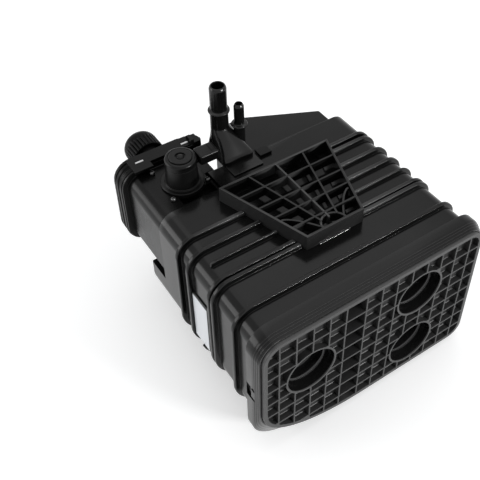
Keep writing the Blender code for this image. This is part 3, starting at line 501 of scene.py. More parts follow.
PARTITION_X = 0.0867
PARTITION_Z = 0.0674
PARTITION_FRONT = 0.0250
CHAMBER_BACK = 0.1870
LEFT_BACK = 0.1590
RECESS_FRONT = 0.1635
RECESS_RIGHT = 0.0665
RECESS_FLOOR = 0.0600
HOUSING_LEFT = 0.0022
HOUSING_TOP = 0.1374
HOUSING_BACK = 0.2250
HOUSING_CORNER = 0.0135
HOUSING_INNER_CORNER = 0.0022
FLANGE_OUT = 0.0058
FLANGE_BACK = 0.2430
LUG_LEFT = 0.0500
LUG_RIGHT = 0.0740
LUG_BACK = 0.2070
LUG_LOW = 0.1150
EAR_LEFT = 0.0550
EAR_RIGHT = 0.0815
EAR_LOW = 0.1050
WEDGE_LEFT = 0.1050
WEDGE_RIGHT = 0.2050
WEDGE_FRONT = CASE_BACK - 0.0100
WEDGE_TURN = 0.1380
WEDGE_BACK_LEFT = 0.2420
WEDGE_BACK_TURN = 0.2402
WEDGE_BACK_RIGHT = 0.2075
WEDGE_TOP = 0.1364
WEDGE_FLOOR = 0.0420
BRACKET_MIDDLE = 0.1138
BRACKET_FRONT = 0.0638
BRACKET_BACK = 0.1520
BRACKET_HALF_FRONT = 0.0288
BRACKET_HALF_BACK = 0.0576
BRACKET_TALL = 0.0150
BRACKET_WALL = 0.0022
BRACKET_RIB = 0.0016
BRACKET_ROWS = (0.0796, 0.0967, 0.1126, 0.1321)
PAD_X = 0.0006
PAD_Y = (0.0830, 0.1078)
PAD_Z = (0.0420, 0.1010)
PORT_X = 0.0967
PORT_Y = 0.1862
PORT_RADIUS = 0.0016
VENT_X = 0.036
VENT_Z = 0.100
VENT_RADIUS = 0.008


def half_at(y):
    t = (y - BRACKET_FRONT) / (BRACKET_BACK - BRACKET_FRONT)
    return BRACKET_HALF_FRONT + t * (BRACKET_HALF_BACK - BRACKET_HALF_FRONT)


def bracket_plan(margin):
    front, back = BRACKET_FRONT - margin, BRACKET_BACK + margin
    near, far = half_at(front), half_at(back)
    return [(BRACKET_MIDDLE - near - margin, front), (BRACKET_MIDDLE + near + margin, front),
            (BRACKET_MIDDLE + far + margin, back), (BRACKET_MIDDLE - far - margin, back)]


def chamber(x0, x1, z0, z1, y0, y1, form="case"):
    """Part of the case's inside between two depths."""
    ring = crop(section(INNER, 0, form), x0, x1, z0, z1)
    return solid(lambda bm: loft(bm, [[(x, y, z) for x, z in ring] for y in (y0, y1)]))


case = solid(case_outside)
wedge = [(WEDGE_LEFT, WEDGE_FRONT), (WEDGE_RIGHT, WEDGE_FRONT), (WEDGE_RIGHT, WEDGE_BACK_RIGHT),
         (WEDGE_TURN, WEDGE_BACK_TURN), (WEDGE_LEFT, WEDGE_BACK_LEFT)]
rear = prism(wedge, WEDGE_FLOOR, WEDGE_TOP)
round_edges(rear, 0.0020, 20.0, 4)
join(case, rear)
half = WALL / 2
for x0, x1, z0, z1, back in ((-1, PARTITION_X - half, -1, 1, LEFT_BACK),
                             (PARTITION_X + half, 1, PARTITION_Z + half, 1, CHAMBER_BACK),
                             (PARTITION_X + half, 1, -1, PARTITION_Z - half, CHAMBER_BACK)):
    cut(case, chamber(x0, x1, z0, z1, PARTITION_FRONT - 0.001, back))
mouth = ((GAP + 0.0004, COLLAR_FRONT - 0.005), (GAP + 0.0004, COLLAR_FRONT), (GAP, COLLAR_FRONT + 0.0004),
         (GAP, COVER_DEEP + GAP))
cut(case, chamber(-1, 1, -1, 1, COLLAR_FRONT - 0.005, PARTITION_FRONT, "cover"),
    solid(lambda bm: loft(bm, [section(off, y) for off, y in mouth])))
cut(case, block(-0.02, RECESS_RIGHT, RECESS_FRONT, 0.3, RECESS_FLOOR, 0.2))
cut(case, rod(PORT_RADIUS, -0.006, 0.004, (PORT_X, PORT_Y, TOP_Z), steps=24),
    rod(VENT_RADIUS + 0.001, -0.008, 0.008, (VENT_X, RECESS_FRONT, VENT_Z), Y_AXIS, 32))
cut(case, prism(bracket_plan(0.0006), TOP_Z, TOP_Z + 0.02))
cut(case, block(-0.02, PAD_X, *PAD_Y, *PAD_Z))
pad = block(PAD_X, 0.0060, *PAD_Y, *PAD_Z)
round_edges(pad, 0.0006, 30.0, 3)
join(case, pad)
for skin, inward, low_z, high_z in ((-COLLAR_OUT, 1, 0.0665, 0.0830),
                                    (WIDTH + FORMS["collar"][0] + COLLAR_OUT, -1, 0.0400, 0.0560)):
    window = sorted((skin - inward * 0.002, skin + inward * 0.0018))
    cut(case, block(*window, 0.0098, 0.0205, low_z, high_z))
    hook = sorted((skin + inward * 0.0004, skin + inward * 0.0026))
    catch = block(*hook, 0.0088, 0.0150, low_z + 0.0020, high_z - 0.0042)
    round_edges(catch, 0.0004, 30.0, 2)
    join(case, catch)
finish_piece(case, "case_shell", case_mat, ("case",))

# Cover with its lattice and stepped cups
CELL_DEEP = 0.0054
CELL_RIB = 0.0015
LEAST_CELL = 1.2e-5
LEAST_ISLAND = 6e-8
RIM = 0.0038
STRIP_DEEP = 0.0120
COLUMN_PITCH = 0.0156
COLUMNS = [start + k * COLUMN_PITCH for start, count in ((0.01435, 5), (0.09655, 8)) for k in range(count)]
ROWS = [0.0162 + k * 0.0173 for k in range(8)]
STRIP_COLUMN = 4
POCKETS = ((0.0451, 0.0829), (0.1551, 0.1015), (0.1551, 0.0334))
POCKET_RADIUS = 0.0226
POCKET_RING = 0.0017
CUP_DEEP = 0.0230
CUP_FLOOR = 0.0130
CHAMFER = 0.0003


def scaled(points, by):
    """Grow a cell's width and height by an amount on each side."""
    x0, x1 = min(p[0] for p in points), max(p[0] for p in points)
    z0, z1 = min(p[1] for p in points), max(p[1] for p in points)
    cx, cz = (x0 + x1) / 2, (z0 + z1) / 2
    wide, tall = 1 + 2 * by / (x1 - x0), 1 + 2 * by / (z1 - z0)
    return [(cx + (x - cx) * wide, cz + (z - cz) * tall) for x, z in points]


def drop_small(obj, least):
    """Remove loose islands of an object that hold less than a least volume."""
    bm = bmesh.new()
    bm.from_mesh(obj.data)
    todo = set(bm.faces)
    while todo:
        island = set()
        edge = [todo.pop()]
        while edge:
            face = edge.pop()
            island.add(face)
            for side in face.edges:
                for other in side.link_faces:
                    if other in todo:
                        todo.discard(other)
                        edge.append(other)
        volume = sum(f.calc_center_median().dot(f.normal) * f.calc_area() / 3 for f in island)
        if abs(volume) < least:
            bmesh.ops.delete(bm, geom=list(island), context="FACES")
    bmesh.ops.delete(bm, geom=[v for v in bm.verts if not v.link_faces], context="VERTS")
    bm.to_mesh(obj.data)
    bm.free()


def cell_area(points):
    return abs(sum(a[0] * b[1] - b[0] * a[1] for a, b in zip(points, points[1:] + points[:1]))) / 2


def thin_out(points, least):
    kept = [points[0]]
    for point in points[1:]:
        if math.dist(point, kept[-1]) > least:
            kept.append(point)
    if len(kept) > 3 and math.dist(kept[0], kept[-1]) < least:
        kept.pop()
    return kept


def lattice(bm):
    xs = [-1.0] + COLUMNS + [2.0]
    zs = [-1.0] + ROWS + [2.0]
    edge = section(-RIM, 0)
    for i in range(len(xs) - 1):
        for j in range(len(zs) - 1):
            cell = crop(edge, xs[i] + CELL_RIB / 2, xs[i + 1] - CELL_RIB / 2,
                        zs[j] + CELL_RIB / 2, zs[j + 1] - CELL_RIB / 2)
            if len(cell) < 3 or cell_area(cell) < LEAST_CELL:
                continue
            cell = thin_out(cell, 0.0006)
            deep = STRIP_DEEP if i == STRIP_COLUMN + 1 else CELL_DEEP
            levels = ((0.0006, -0.0005), (None, CHAMFER), (-0.0003, deep - 0.0004), (-0.0007, deep))
            loft(bm, [[(x, y, z) for x, z in (scaled(cell, by) if by else cell)] for by, y in levels])


strip_left, strip_right = COLUMNS[STRIP_COLUMN], COLUMNS[STRIP_COLUMN + 1]
ring_out = POCKET_RADIUS + POCKET_RING
floor_y = CUP_DEEP - 0.002
plate_rows = ((-0.0006, 0.0), (-0.0002, 0.0001), (0.0, 0.0005), (0.0, COVER_DEEP))
cup_rows = [(0, CUP_DEEP), (CUP_FLOOR + 0.002, CUP_DEEP), (0.0195, CUP_DEEP - 0.004),
            (ring_out - 0.001, COVER_DEEP), (ring_out - 0.001, 0.001), (0, 0.001)]
hollow_rows = [(0, floor_y - 0.0012), (0.0030, floor_y - 0.0012), (0.0036, floor_y - 0.0010),
               (0.0040, floor_y), (CUP_FLOOR - 0.0008, floor_y), (CUP_FLOOR, floor_y - 0.0004),
               (0.0166, floor_y - 0.0026), (0.0172, floor_y - 0.0034), (0.0184, 0.0112), (0.0188, 0.0104),
               (0.0196, 0.0099), (0.0204, 0.0096), (0.0208, 0.0088), (POCKET_RADIUS - 0.0004, 0.0010),
               (POCKET_RADIUS - 0.0002, 0.0004), (POCKET_RADIUS + 0.0004, -0.0006), (0, -0.0006)]
cover = solid(lambda bm: loft(bm, [section(off, y) for off, y in plate_rows]))
join(cover, block(strip_left - 0.001, strip_right + 0.001, COVER_DEEP - 0.003, STRIP_DEEP + 0.002, 0.012,
                  HEIGHT - 0.012))
cells = solid(lattice)
for x, z in POCKETS:
    cut(cells, rod(ring_out, -0.0020, 0.0200, (x, 0, z), Y_AXIS, 72))
drop_small(cells, LEAST_ISLAND)
for x, z in POCKETS:
    join(cover, turned(cup_rows, (x, 0, z), Y_AXIS, 48))
cut(cover, cells)
for x, z in POCKETS:
    cut(cover, turned(hollow_rows, (x, 0, z), Y_AXIS, 72))
finish_piece(cover, "front_cover", cover_mat, ("cover",), 25.0)
polish(cover, lambda spot: spot.y > 0.0004 and any(math.dist((spot.x, spot.z), cup) < POCKET_RADIUS - 0.0001
                                                   for cup in POCKETS))


# Filter housing, lid and vent cap
def housing_ring(off, y):
    x0, x1 = HOUSING_LEFT - off, RECESS_RIGHT - 0.0012 + off
    z0, z1 = RECESS_FLOOR + GAP + 0.001 - off, HOUSING_TOP + off
    r, inner = HOUSING_CORNER + off, max(HOUSING_INNER_CORNER + off, 0.0008)
    points = arc(x0 + r, z1 - r, r, 180, 90, 8) + arc(x1 - inner, z1 - inner, inner, 90, 0, 8)
    points += arc(x1 - inner, z0 + inner, inner, 0, -90, 8) + arc(x0 + r, z0 + r, r, -90, -180, 8)
    return [(x, y, z) for x, z in points]


def housing_loft(rows):
    return solid(lambda bm: loft(bm, [housing_ring(off, y) for off, y in rows]))


front_y = RECESS_FRONT + GAP
housing = housing_loft((
    (-0.0008, front_y), (-0.0002, front_y + 0.0002), (0.0, front_y + 0.0007), (0.0, HOUSING_BACK - 0.0034),
    (0.0004, HOUSING_BACK - 0.0026), (FLANGE_OUT - 0.0012, HOUSING_BACK - 0.0020),
    (FLANGE_OUT - 0.0007, HOUSING_BACK - 0.0018), (FLANGE_OUT - 0.0006, HOUSING_BACK - 0.0014),
    (FLANGE_OUT - 0.0006, HOUSING_BACK)))
lug = block(LUG_LEFT, LUG_RIGHT, CASE_BACK + 0.0010, LUG_BACK, LUG_LOW, HOUSING_TOP - 0.0002)
round_edges(lug, 0.0008, 30.0, 3)
join(housing, lug)
cut(housing, housing_loft(((-WALL, RECESS_FRONT + WALL), (-WALL, HOUSING_BACK + 0.01))),
    rod(VENT_RADIUS, -0.008, 0.008, (VENT_X, RECESS_FRONT, VENT_Z), Y_AXIS, 32))
PIT_LEFT = 0.0293
PIT_BACK = 0.1778
PIT_DEEP = 0.0070
VALVE_X = 0.0424
VALVE_Y = 0.1922
VALVE_RADIUS = 0.0139
VALVE_RING = 0.0195
VALVE_TALL = 0.0305
pit_front = RECESS_FRONT + WALL
pit_right = RECESS_RIGHT - 0.0012 - WALL


def well(grow, floor, top):
    return block(PIT_LEFT - grow, pit_right + grow, pit_front - grow + 0.0002, PIT_BACK + grow, floor, top)


join(housing, well(WALL - 0.0003, HOUSING_TOP - PIT_DEEP - WALL, HOUSING_TOP - 0.0005))
pit = well(0.0, HOUSING_TOP - PIT_DEEP, HOUSING_TOP + 0.01)
cut(pit, rod(VALVE_RING + 0.0006, -0.03, 0.03, (VALVE_X, VALVE_Y, HOUSING_TOP)))
cut(housing, pit)
cut(housing, rod(0.0070, -0.006, 0.004, (VALVE_X, VALVE_Y, HOUSING_TOP), steps=32))
finish_piece(housing, "vent_housing", housing_mat, ("filter_housing",))

# Inset and depth of each step of the lid, first from its front and then back from its rim
lid_steps = ((0.0005, 0.0), (0.0, 0.0005), (0.0, 0.0034), (0.0004, 0.0039), (0.0012, 0.0042),
             (0.0014, 0.0048), (0.0014, 0.0070), (0.0010, 0.0076), (0.0003, 0.0080), (0.0002, 0.0086),
             (0.0002, 0.0108), (0.0010, 0.0112), (0.0011, 0.0124), (0.0003, 0.0128))
rim_steps = ((0.0003, 0.0026), (0.0010, 0.0010), (0.0022, 0.0003), (0.0036, 0.0))
lid_y = HOUSING_BACK + GAP
lid_rows = [(FLANGE_OUT - inset, lid_y + deep) for inset, deep in lid_steps]
lid_rows += [(FLANGE_OUT - inset, FLANGE_BACK - short) for inset, short in rim_steps]
lid = housing_loft(lid_rows)
ear = block(EAR_LEFT, EAR_RIGHT, lid_y, FLANGE_BACK - 0.0032, EAR_LOW, HOUSING_TOP + FLANGE_OUT - 0.0004)
round_edges(ear, 0.0010, 30.0, 3)
join(lid, ear)
NECK_X = 0.0356
NECK_Z = 0.1326
NECK_RADIUS = 0.0120
NECK_BORE = 0.0095
CAP_RADIUS = 0.0165
CAP_DOME = 0.0125
neck_rows = [(0, FLANGE_BACK - 0.004), (NECK_RADIUS, FLANGE_BACK - 0.004),
             (NECK_RADIUS, FLANGE_BACK + 0.0084), (NECK_RADIUS - 0.0006, FLANGE_BACK + 0.009),
             (0, FLANGE_BACK + 0.009)]
join(lid, turned(neck_rows, (NECK_X, 0, NECK_Z), Y_AXIS, 48))
cut(lid, housing_loft(((-WALL, lid_y - 0.01), (-WALL, FLANGE_BACK - 0.0030))),
    rod(NECK_BORE, FLANGE_BACK - 0.02, FLANGE_BACK + 0.02, (NECK_X, 0, NECK_Z), Y_AXIS, 48))
finish_piece(lid, "vent_lid", lid_mat, ("filter_lid",))
FLUTES = 30
FLUTE_DEPTHS = {3: 0.0013, 4: 0.0013, 5: 0.0006}


def flutes(row, angle):
    """Shallow grooves round the rim end of the cap."""
    return -FLUTE_DEPTHS.get(row, 0.0) * (0.5 + 0.5 * math.cos(FLUTES * angle)) ** 2


cap_steps = ((0.0020, 0.018), (0.0020, GAP), (0.0006, GAP), (0.0, 0.0010), (0.0, 0.0120), (0.0, 0.0136),
             (0.0, 0.0152), (0.0, 0.0170))
cap_rows = [(CAP_RADIUS - inset, FLANGE_BACK + deep) for inset, deep in cap_steps]
cap_rows += [(CAP_RADIUS * math.cos(a), FLANGE_BACK + 0.0170 + CAP_DOME * math.sin(a))
             for a in (k * math.pi / 24 for k in range(1, 12))]
cap_rows += [(CAP_RADIUS * 0.06, FLANGE_BACK + 0.0170 + CAP_DOME)]
vent = solid(lambda bm: lathe(bm, cap_rows, (NECK_X, 0, NECK_Z), Y_AXIS, 264, flutes))
finish_piece(vent, "vent_hood", cap_mat, ("vent_cap",), 40.0)

# Locking strip
STRIP_THICK = 0.0022
SLOT_Y = (0.2279, 0.2306)
SLOT_X = ((0.0149, 0.0236), (0.0617, 0.0695))
ARM_X = (0.0699, 0.0732)
ARM_FRONT = 0.2240
strip_z = HOUSING_TOP + FLANGE_OUT + GAP
strip_plan = [(0.0095, 0.2174), (0.0275, 0.2172), (0.0275, 0.2243), (0.0805, 0.2243), (0.0816, 0.2270),
              (0.0800, 0.2325), (0.0760, 0.2358), (0.0690, 0.2374), (0.0130, 0.2382), (0.0092, 0.2345)]
strip = prism(strip_plan, strip_z, strip_z + STRIP_THICK)
arm_rows = ((0.2345, strip_z + 0.0010), (0.2335, strip_z + 0.0055), (0.2320, strip_z + 0.0064))
join(strip, solid(lambda bm: loft(bm, [[(ARM_X[0], ARM_FRONT, z), (ARM_X[1], ARM_FRONT, z),
                                        (ARM_X[1], y, z), (ARM_X[0], y, z)] for y, z in arm_rows])))
for x0, x1 in SLOT_X:
    cut(strip, block(x0, x1, *SLOT_Y, strip_z - 0.01, strip_z + 0.01))
round_edges(strip, 0.0004, 40.0, 2)
finish_piece(strip, "locking_strip", housing_mat, ("lock_strip",))
for side, (x0, x1) in zip(("left", "right"), SLOT_X):
    lug = block(x0 + GAP, x1 - GAP, SLOT_Y[0] + GAP, SLOT_Y[1] - GAP, strip_z,
                strip_z + STRIP_THICK - 0.0002)
    round_edges(lug, 0.0003, 30.0, 2)
    finish_piece(lug, "slot_lug_" + side, lug_mat, ("lug_" + side,))

# Valve
RING_TALL = 0.0036
BODY_TALL = 0.0180
SCREWS = ((-0.0183, -0.0163), (-0.0176, 0.0238), (0.0194, -0.0110))
PLUG_RIGHT = 0.0762
PLUG_Y = (0.1822, 0.1974)
PLUG_TALL = 0.0106
PLUG_WALL = 0.0020
base = HOUSING_TOP + GAP
bottom = base + RING_TALL + GAP
cap_z = bottom + BODY_TALL + GAP
cap_tall = base + VALVE_TALL - cap_z
barrel = VALVE_RADIUS
crown_round = 0.0026
crown_step = cap_tall - 0.0038


def valve_piece(rows, low, name, node):
    made = turned(rows, (VALVE_X, VALVE_Y, low), steps=96)
    finish_piece(made, name, valve_mat, (node,))


valve_piece([(0.0075, 0.0), (VALVE_RING - 0.0002, 0.0), (VALVE_RING, 0.0003), (VALVE_RING, 0.0018),
             (VALVE_RING - 0.0004, 0.0022), (barrel + 0.0021, 0.0023), (barrel + 0.0018, 0.0026),
             (barrel + 0.0017, 0.0033), (barrel + 0.0014, RING_TALL), (0.0075, RING_TALL)],
            base, "valve_collar", "valve_ring")
valve_piece([(0.0055, 0.0), (barrel + 0.0007, 0.0), (barrel + 0.0010, 0.0003), (barrel, BODY_TALL - 0.0002),
             (barrel - 0.0002, BODY_TALL), (barrel - 0.0040, BODY_TALL), (barrel - 0.0040, 0.0030),
             (0.0055, 0.0030)], bottom, "valve_barrel", "valve_body")
top_rows = [(0, 0.0), (barrel, 0.0), (barrel + 0.0003, 0.0003), (barrel + 0.0003, crown_step)]
top_rows += [(barrel - 0.0023 + crown_round * math.cos(a), crown_step + crown_round * math.sin(a))
             for a in (k * math.pi / 12 for k in range(1, 6))]
top_rows += [(radius, cap_tall + rise) for radius, rise in
             ((0.0113, -0.0012), (0.0112, -0.0018), (0.0105, -0.0018), (0.0103, -0.0006), (0.0099, -0.0002),
              (0.0052, 0.0), (0.0047, -0.0003), (0.0044, -0.0014), (0.0036, -0.0014), (0.0030, -0.0006),
              (0.0020, 0.0001), (0, 0.0004))]
valve_piece(top_rows, cap_z, "valve_crown", "valve_cap")

plug_left = VALVE_X + VALVE_RADIUS + 0.0004 + GAP
plug_low = base + VALVE_TALL - 0.0022 - PLUG_TALL
plug_high = plug_low + PLUG_TALL
plug = block(plug_left, PLUG_RIGHT, *PLUG_Y, plug_low, plug_high)
round_edges(plug, 0.0022, 40.0, 4)
for edge in (PLUG_RIGHT - 0.0022, PLUG_RIGHT - 0.0068):
    cut(plug, block(edge, edge + 0.0008, PLUG_Y[0] - 0.001, PLUG_Y[1] + 0.001, plug_high - 0.0005,
                    plug_high + 0.001))
cut(plug, block(plug_left + 0.0055, PLUG_RIGHT + 0.001, PLUG_Y[0] + WALL, PLUG_Y[1] - WALL,
                plug_low + PLUG_WALL, plug_high - PLUG_WALL))
finish_piece(plug, "valve_plug", valve_mat, ("valve_connector",))

screw_rows = [(0, 0.0), (0.0023, 0.0), (0.0024, 0.0002), (0.0024, 0.0016), (0.0021, 0.0024),
              (0.0016, 0.0029), (0.0013, 0.0030), (0.0010, 0.0022), (0, 0.0022)]
for index, (dx, dy) in enumerate(SCREWS, 1):
    screw = turned(screw_rows, (VALVE_X + dx, VALVE_Y + dy, base), steps=32)
    finish_piece(screw, "valve_fastener_%d" % index, screw_mat, ("valve_screw_%d" % index,))

# Hose fitting
FITTING_LEFT = 0.0822
FITTING_RIGHT = 0.1136
FITTING_FRONT = 0.1834
FITTING_BACK = 0.2180
FITTING_TALL = 0.0285
SKIRT = 0.0052
PLATE_FRONT_Y = 0.1700
PLATE_TALL = 0.0014
BIG_NIPPLE = (0.0932, 0.2100)
SMALL_NIPPLE = (0.1075, 0.1992)
BIG_RADIUS = 0.0079
SMALL_RADIUS = 0.00475
BIG_BORE = 0.0056
SMALL_BORE = 0.0028
BIG_BEAD = 0.0100
SMALL_BEAD = 0.0076
BORE_LOW = 0.0028
CHANNEL_LOW = 0.0016
BIG_TOP = TOP_Z + 0.0726
SMALL_TOP = TOP_Z + 0.0535
foot = TOP_Z + GAP
throat = foot + FITTING_TALL


def chute(bm):
    """Skin from a rounded rectangle on the case top to the circle under the large stub."""
    steps = 64
    end_x, end_y = BIG_NIPPLE
    end_radius = BIG_RADIUS + 0.0005
    cx, cy = (FITTING_LEFT + FITTING_RIGHT) / 2, (FITTING_FRONT + FITTING_BACK) / 2
    wide, deep = (FITTING_RIGHT - FITTING_LEFT) / 2, (FITTING_BACK - FITTING_FRONT) / 2
    levels = [(0.0, foot), (0.0, foot + SKIRT - 0.0008), (0.004, foot + SKIRT)]
    levels += [(t, foot + SKIRT + (FITTING_TALL - SKIRT) * t) for t in (k / 16 for k in range(1, 17))]
    rings = []
    for t, z in levels:
        square = max(0.0, 1.0 - t * 1.1)
        ring = []
        for k in range(steps):
            a = 2 * math.pi * (k + 0.5) / steps
            c, s = math.cos(a), math.sin(a)
            flat = (abs(c) ** 9 + abs(s) ** 9) ** (-1 / 9)
            reach = square * flat + (1.0 - square)
            x = cx + (end_x - cx) * t + (wide + (end_radius - wide) * t) * c * reach
            y = cy + (end_y - cy) * t + (deep + (end_radius - deep) * t) * s * reach
            x = min(max(x, FITTING_LEFT), FITTING_RIGHT)
            y = min(max(y, FITTING_FRONT), FITTING_BACK)
            ring.append((x, y, z))
        rings.append(ring)
    loft(bm, rings)


def stub(place, low, high, radius, bead_z, bead):
    rows = [(0, low), (radius + 0.0005, low), (radius + 0.0005, bead_z - 0.0016),
            (radius + 0.0009, bead_z - 0.0012)]
    rows += arc(bead - 0.0011, bead_z, 0.0011, -70, 70, 6)
    rows += [(radius + 0.0004, bead_z + 0.0013), (radius, bead_z + 0.0017), (radius, high - 0.0030),
             (radius - 0.0002, high - 0.0020), (radius - 0.0009, high - 0.0005),
             (radius - 0.0012, high - 0.0001), (radius - 0.0016, high), (0, high)]
    return turned(rows, (*place, 0), steps=72)


fitting = solid(chute)
plate = block(FITTING_LEFT + 0.0010, FITTING_RIGHT + 0.0006, PLATE_FRONT_Y, CASE_BACK - 0.0010, foot,
              foot + PLATE_TALL)
round_edges(plate, 0.0004, 30.0, 2)
join(fitting, plate, stub(BIG_NIPPLE, throat - 0.0040, BIG_TOP, BIG_RADIUS, BIG_TOP - 0.0267, BIG_BEAD),
     stub(SMALL_NIPPLE, foot + 0.0090, SMALL_TOP, SMALL_RADIUS, SMALL_TOP - 0.0227, SMALL_BEAD))
for (x, y), bore, top in ((BIG_NIPPLE, BIG_BORE, BIG_TOP), (SMALL_NIPPLE, SMALL_BORE, SMALL_TOP)):
    bore_rows = [(0, foot + BORE_LOW), (bore, foot + BORE_LOW), (bore, top - 0.0004),
                 (bore + 0.0004, top + 0.0001), (bore + 0.0004, top + 0.01), (0, top + 0.01)]
    cut(fitting, turned(bore_rows, (x, y, 0), steps=48))
cut(fitting,
    block(PORT_X - PORT_RADIUS, PORT_X + PORT_RADIUS, PORT_Y - PORT_RADIUS * 0.6, BIG_NIPPLE[1],
          foot + CHANNEL_LOW, foot + 0.0040),
    block(PORT_X, SMALL_NIPPLE[0], SMALL_NIPPLE[1] - 0.0014, SMALL_NIPPLE[1] + 0.0014, foot + CHANNEL_LOW,
          foot + 0.0036),
    rod(PORT_RADIUS, -0.004, 0.004, (PORT_X, PORT_Y, foot), steps=24))
finish_piece(fitting, "hose_block", fitting_mat, ("hose_fitting",), 40.0)

# Lattice bracket
FAN_FRONT = 0.016
BOSS_RADIUS = 0.0118
TOE_X = (BRACKET_MIDDLE - 0.0165, BRACKET_MIDDLE + 0.0150)
TOE_TALL = 0.0012
TOE_ROUND = 0.0010
foot_z = TOP_Z + GAP
crown = foot_z + BRACKET_TALL
rib_low = foot_z + 0.0050


def wall_between(a, b, high):
    """Straight rib of the bracket from one point to another."""
    a, b = Vector(a), Vector(b)
    side = Vector((-(b - a).y, (b - a).x)).normalized() * BRACKET_RIB / 2
    return prism([a + side, a - side, b - side, b + side], rib_low, high)


def bracket_hollow(flange, low, high):
    y0, y1 = BRACKET_FRONT + BRACKET_WALL, BRACKET_BACK - BRACKET_WALL
    ring = [(-half_at(y0) + flange, y0), (half_at(y0) - flange, y0), (half_at(y1) - flange, y1),
            (-half_at(y1) + flange, y1)]
    return prism([(BRACKET_MIDDLE + x, y) for x, y in ring], low, high)


def ribbon(points, thick, high):
    """Rib of even thickness along a bent line."""
    left, right = [], []
    for i, p in enumerate(points):
        a, b = Vector(points[max(i - 1, 0)]), Vector(points[min(i + 1, len(points) - 1)])
        side = Vector((-(b - a).y, (b - a).x)).normalized() * thick / 2
        left.append(Vector(p) + side)
        right.append(Vector(p) - side)
    return prism(left + right[::-1], rib_low, high)


bracket = prism(bracket_plan(0.0), foot_z, crown)
cut(bracket, bracket_hollow(BRACKET_WALL, foot_z + 0.0016, crown + 0.01),
    bracket_hollow(BRACKET_WALL + 0.0085, foot_z - 0.01, crown + 0.02))
boss_y = BRACKET_FRONT + 0.0012
for y in BRACKET_ROWS:
    reach = half_at(y) - 0.001
    join(bracket, wall_between((BRACKET_MIDDLE - reach, y), (BRACKET_MIDDLE + reach, y), crown - 0.0001))
for end in (-0.5, 0.0, 0.5):
    front_end = (BRACKET_MIDDLE + end * FAN_FRONT, boss_y + 0.008)
    back_end = (BRACKET_MIDDLE + end * half_at(BRACKET_BACK), BRACKET_BACK - 0.001)
    join(bracket, wall_between(front_end, back_end, crown - 0.0002))
for sign in (-1, 1):
    sweep = [(BRACKET_MIDDLE + sign * (0.0345 - 0.0245 * t), 0.0920 - 0.0260 * (t ** 1.5))
             for t in (k / 14 for k in range(15))]
    join(bracket, ribbon(sweep, BRACKET_RIB, crown - 0.0012))
boss = [(BRACKET_MIDDLE + BOSS_RADIUS * math.cos(a), boss_y + BOSS_RADIUS * math.sin(a))
        for a in (math.pi * k / 24 for k in range(25))]
join(bracket, ribbon(boss, BRACKET_RIB + 0.0002, crown - 0.0006))
round_edges(bracket, 0.00025, 40.0, 2)
toe_y, toe_low, toe_top = BRACKET_FRONT - 0.0012, foot_z + 0.00005, foot_z + TOE_TALL
toe = [(toe_y, toe_low)]
toe += [(toe_y + TOE_ROUND * (1.0 - math.cos(a)), toe_top - TOE_ROUND * (1.0 - math.sin(a)))
        for a in (math.pi / 2 * k / 5 for k in range(6))]
toe += [(BRACKET_FRONT + 0.001, toe_top), (BRACKET_FRONT + 0.001, toe_low)]
join(bracket, solid(lambda bm: loft(bm, [[(x, y, z) for y, z in toe] for x in TOE_X])))
finish_piece(bracket, "lattice_bracket", bracket_mat, ("bracket",), 20.0)
polish(bracket, lambda spot: spot.y < BRACKET_FRONT - 0.00005 and spot.z < toe_top + 0.0001)

# Clip tab and blank label
TAB_X = (0.1165, 0.1290)
TAB_Y = (0.1785, 0.1890)
tab = block(*TAB_X, *TAB_Y, TOP_Z + GAP, TOP_Z + 0.0030)
round_edges(tab, 0.0004, 40.0, 2)
finish_piece(tab, "snap_tab", housing_mat, ("clip_tab",))
label = block(PAD_X - GAP - 0.00015, PAD_X - GAP, PAD_Y[0] + 0.0012, PAD_Y[1] - 0.0008, PAD_Z[0] + 0.0020,
              PAD_Z[1] - 0.0020)
finish_piece(label, "blank_label", film_mat, ("label",))

# Finishes of the inner pieces that keep their solids
INNER_MATS = {"plate": inner_mat, "fleece": fleece_mat, "carbon": carbon_mat, "spring": spring_mat,
              "filter_element": filter_mat, "valve_seal": rubber_mat}
for node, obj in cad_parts.items():
    mat = INNER_MATS.get(node) or INNER_MATS.get(node.split("_")[0])
    if mat:
        obj.data.materials.clear()
        obj.data.materials.append(mat)


# Floor and backdrop
def shown_rays(tree):
    """Factor of 1 on camera, glossy and transmission rays, which see plain white."""
    path = tree.nodes.new("ShaderNodeLightPath")
    shown = path.outputs["Is Camera Ray"]
    for ray in ("Is Glossy Ray", "Is Transmission Ray"):
        either = tree.nodes.new("ShaderNodeMath")
        either.operation = "MAXIMUM"
        tree.links.new(shown, either.inputs[0])
        tree.links.new(path.outputs[ray], either.inputs[1])
        shown = either.outputs[0]
    return shown


def choose(tree, usual, shown, output):
    """Send one shader to the output on shown rays and another on all others."""
    mixed = tree.nodes.new("ShaderNodeMixShader")
    for slot, socket in enumerate((shown_rays(tree), usual, shown)):
        tree.links.new(socket, mixed.inputs[slot])
    result = tree.nodes.new(output)
    tree.links.new(mixed.outputs[0], result.inputs[0])


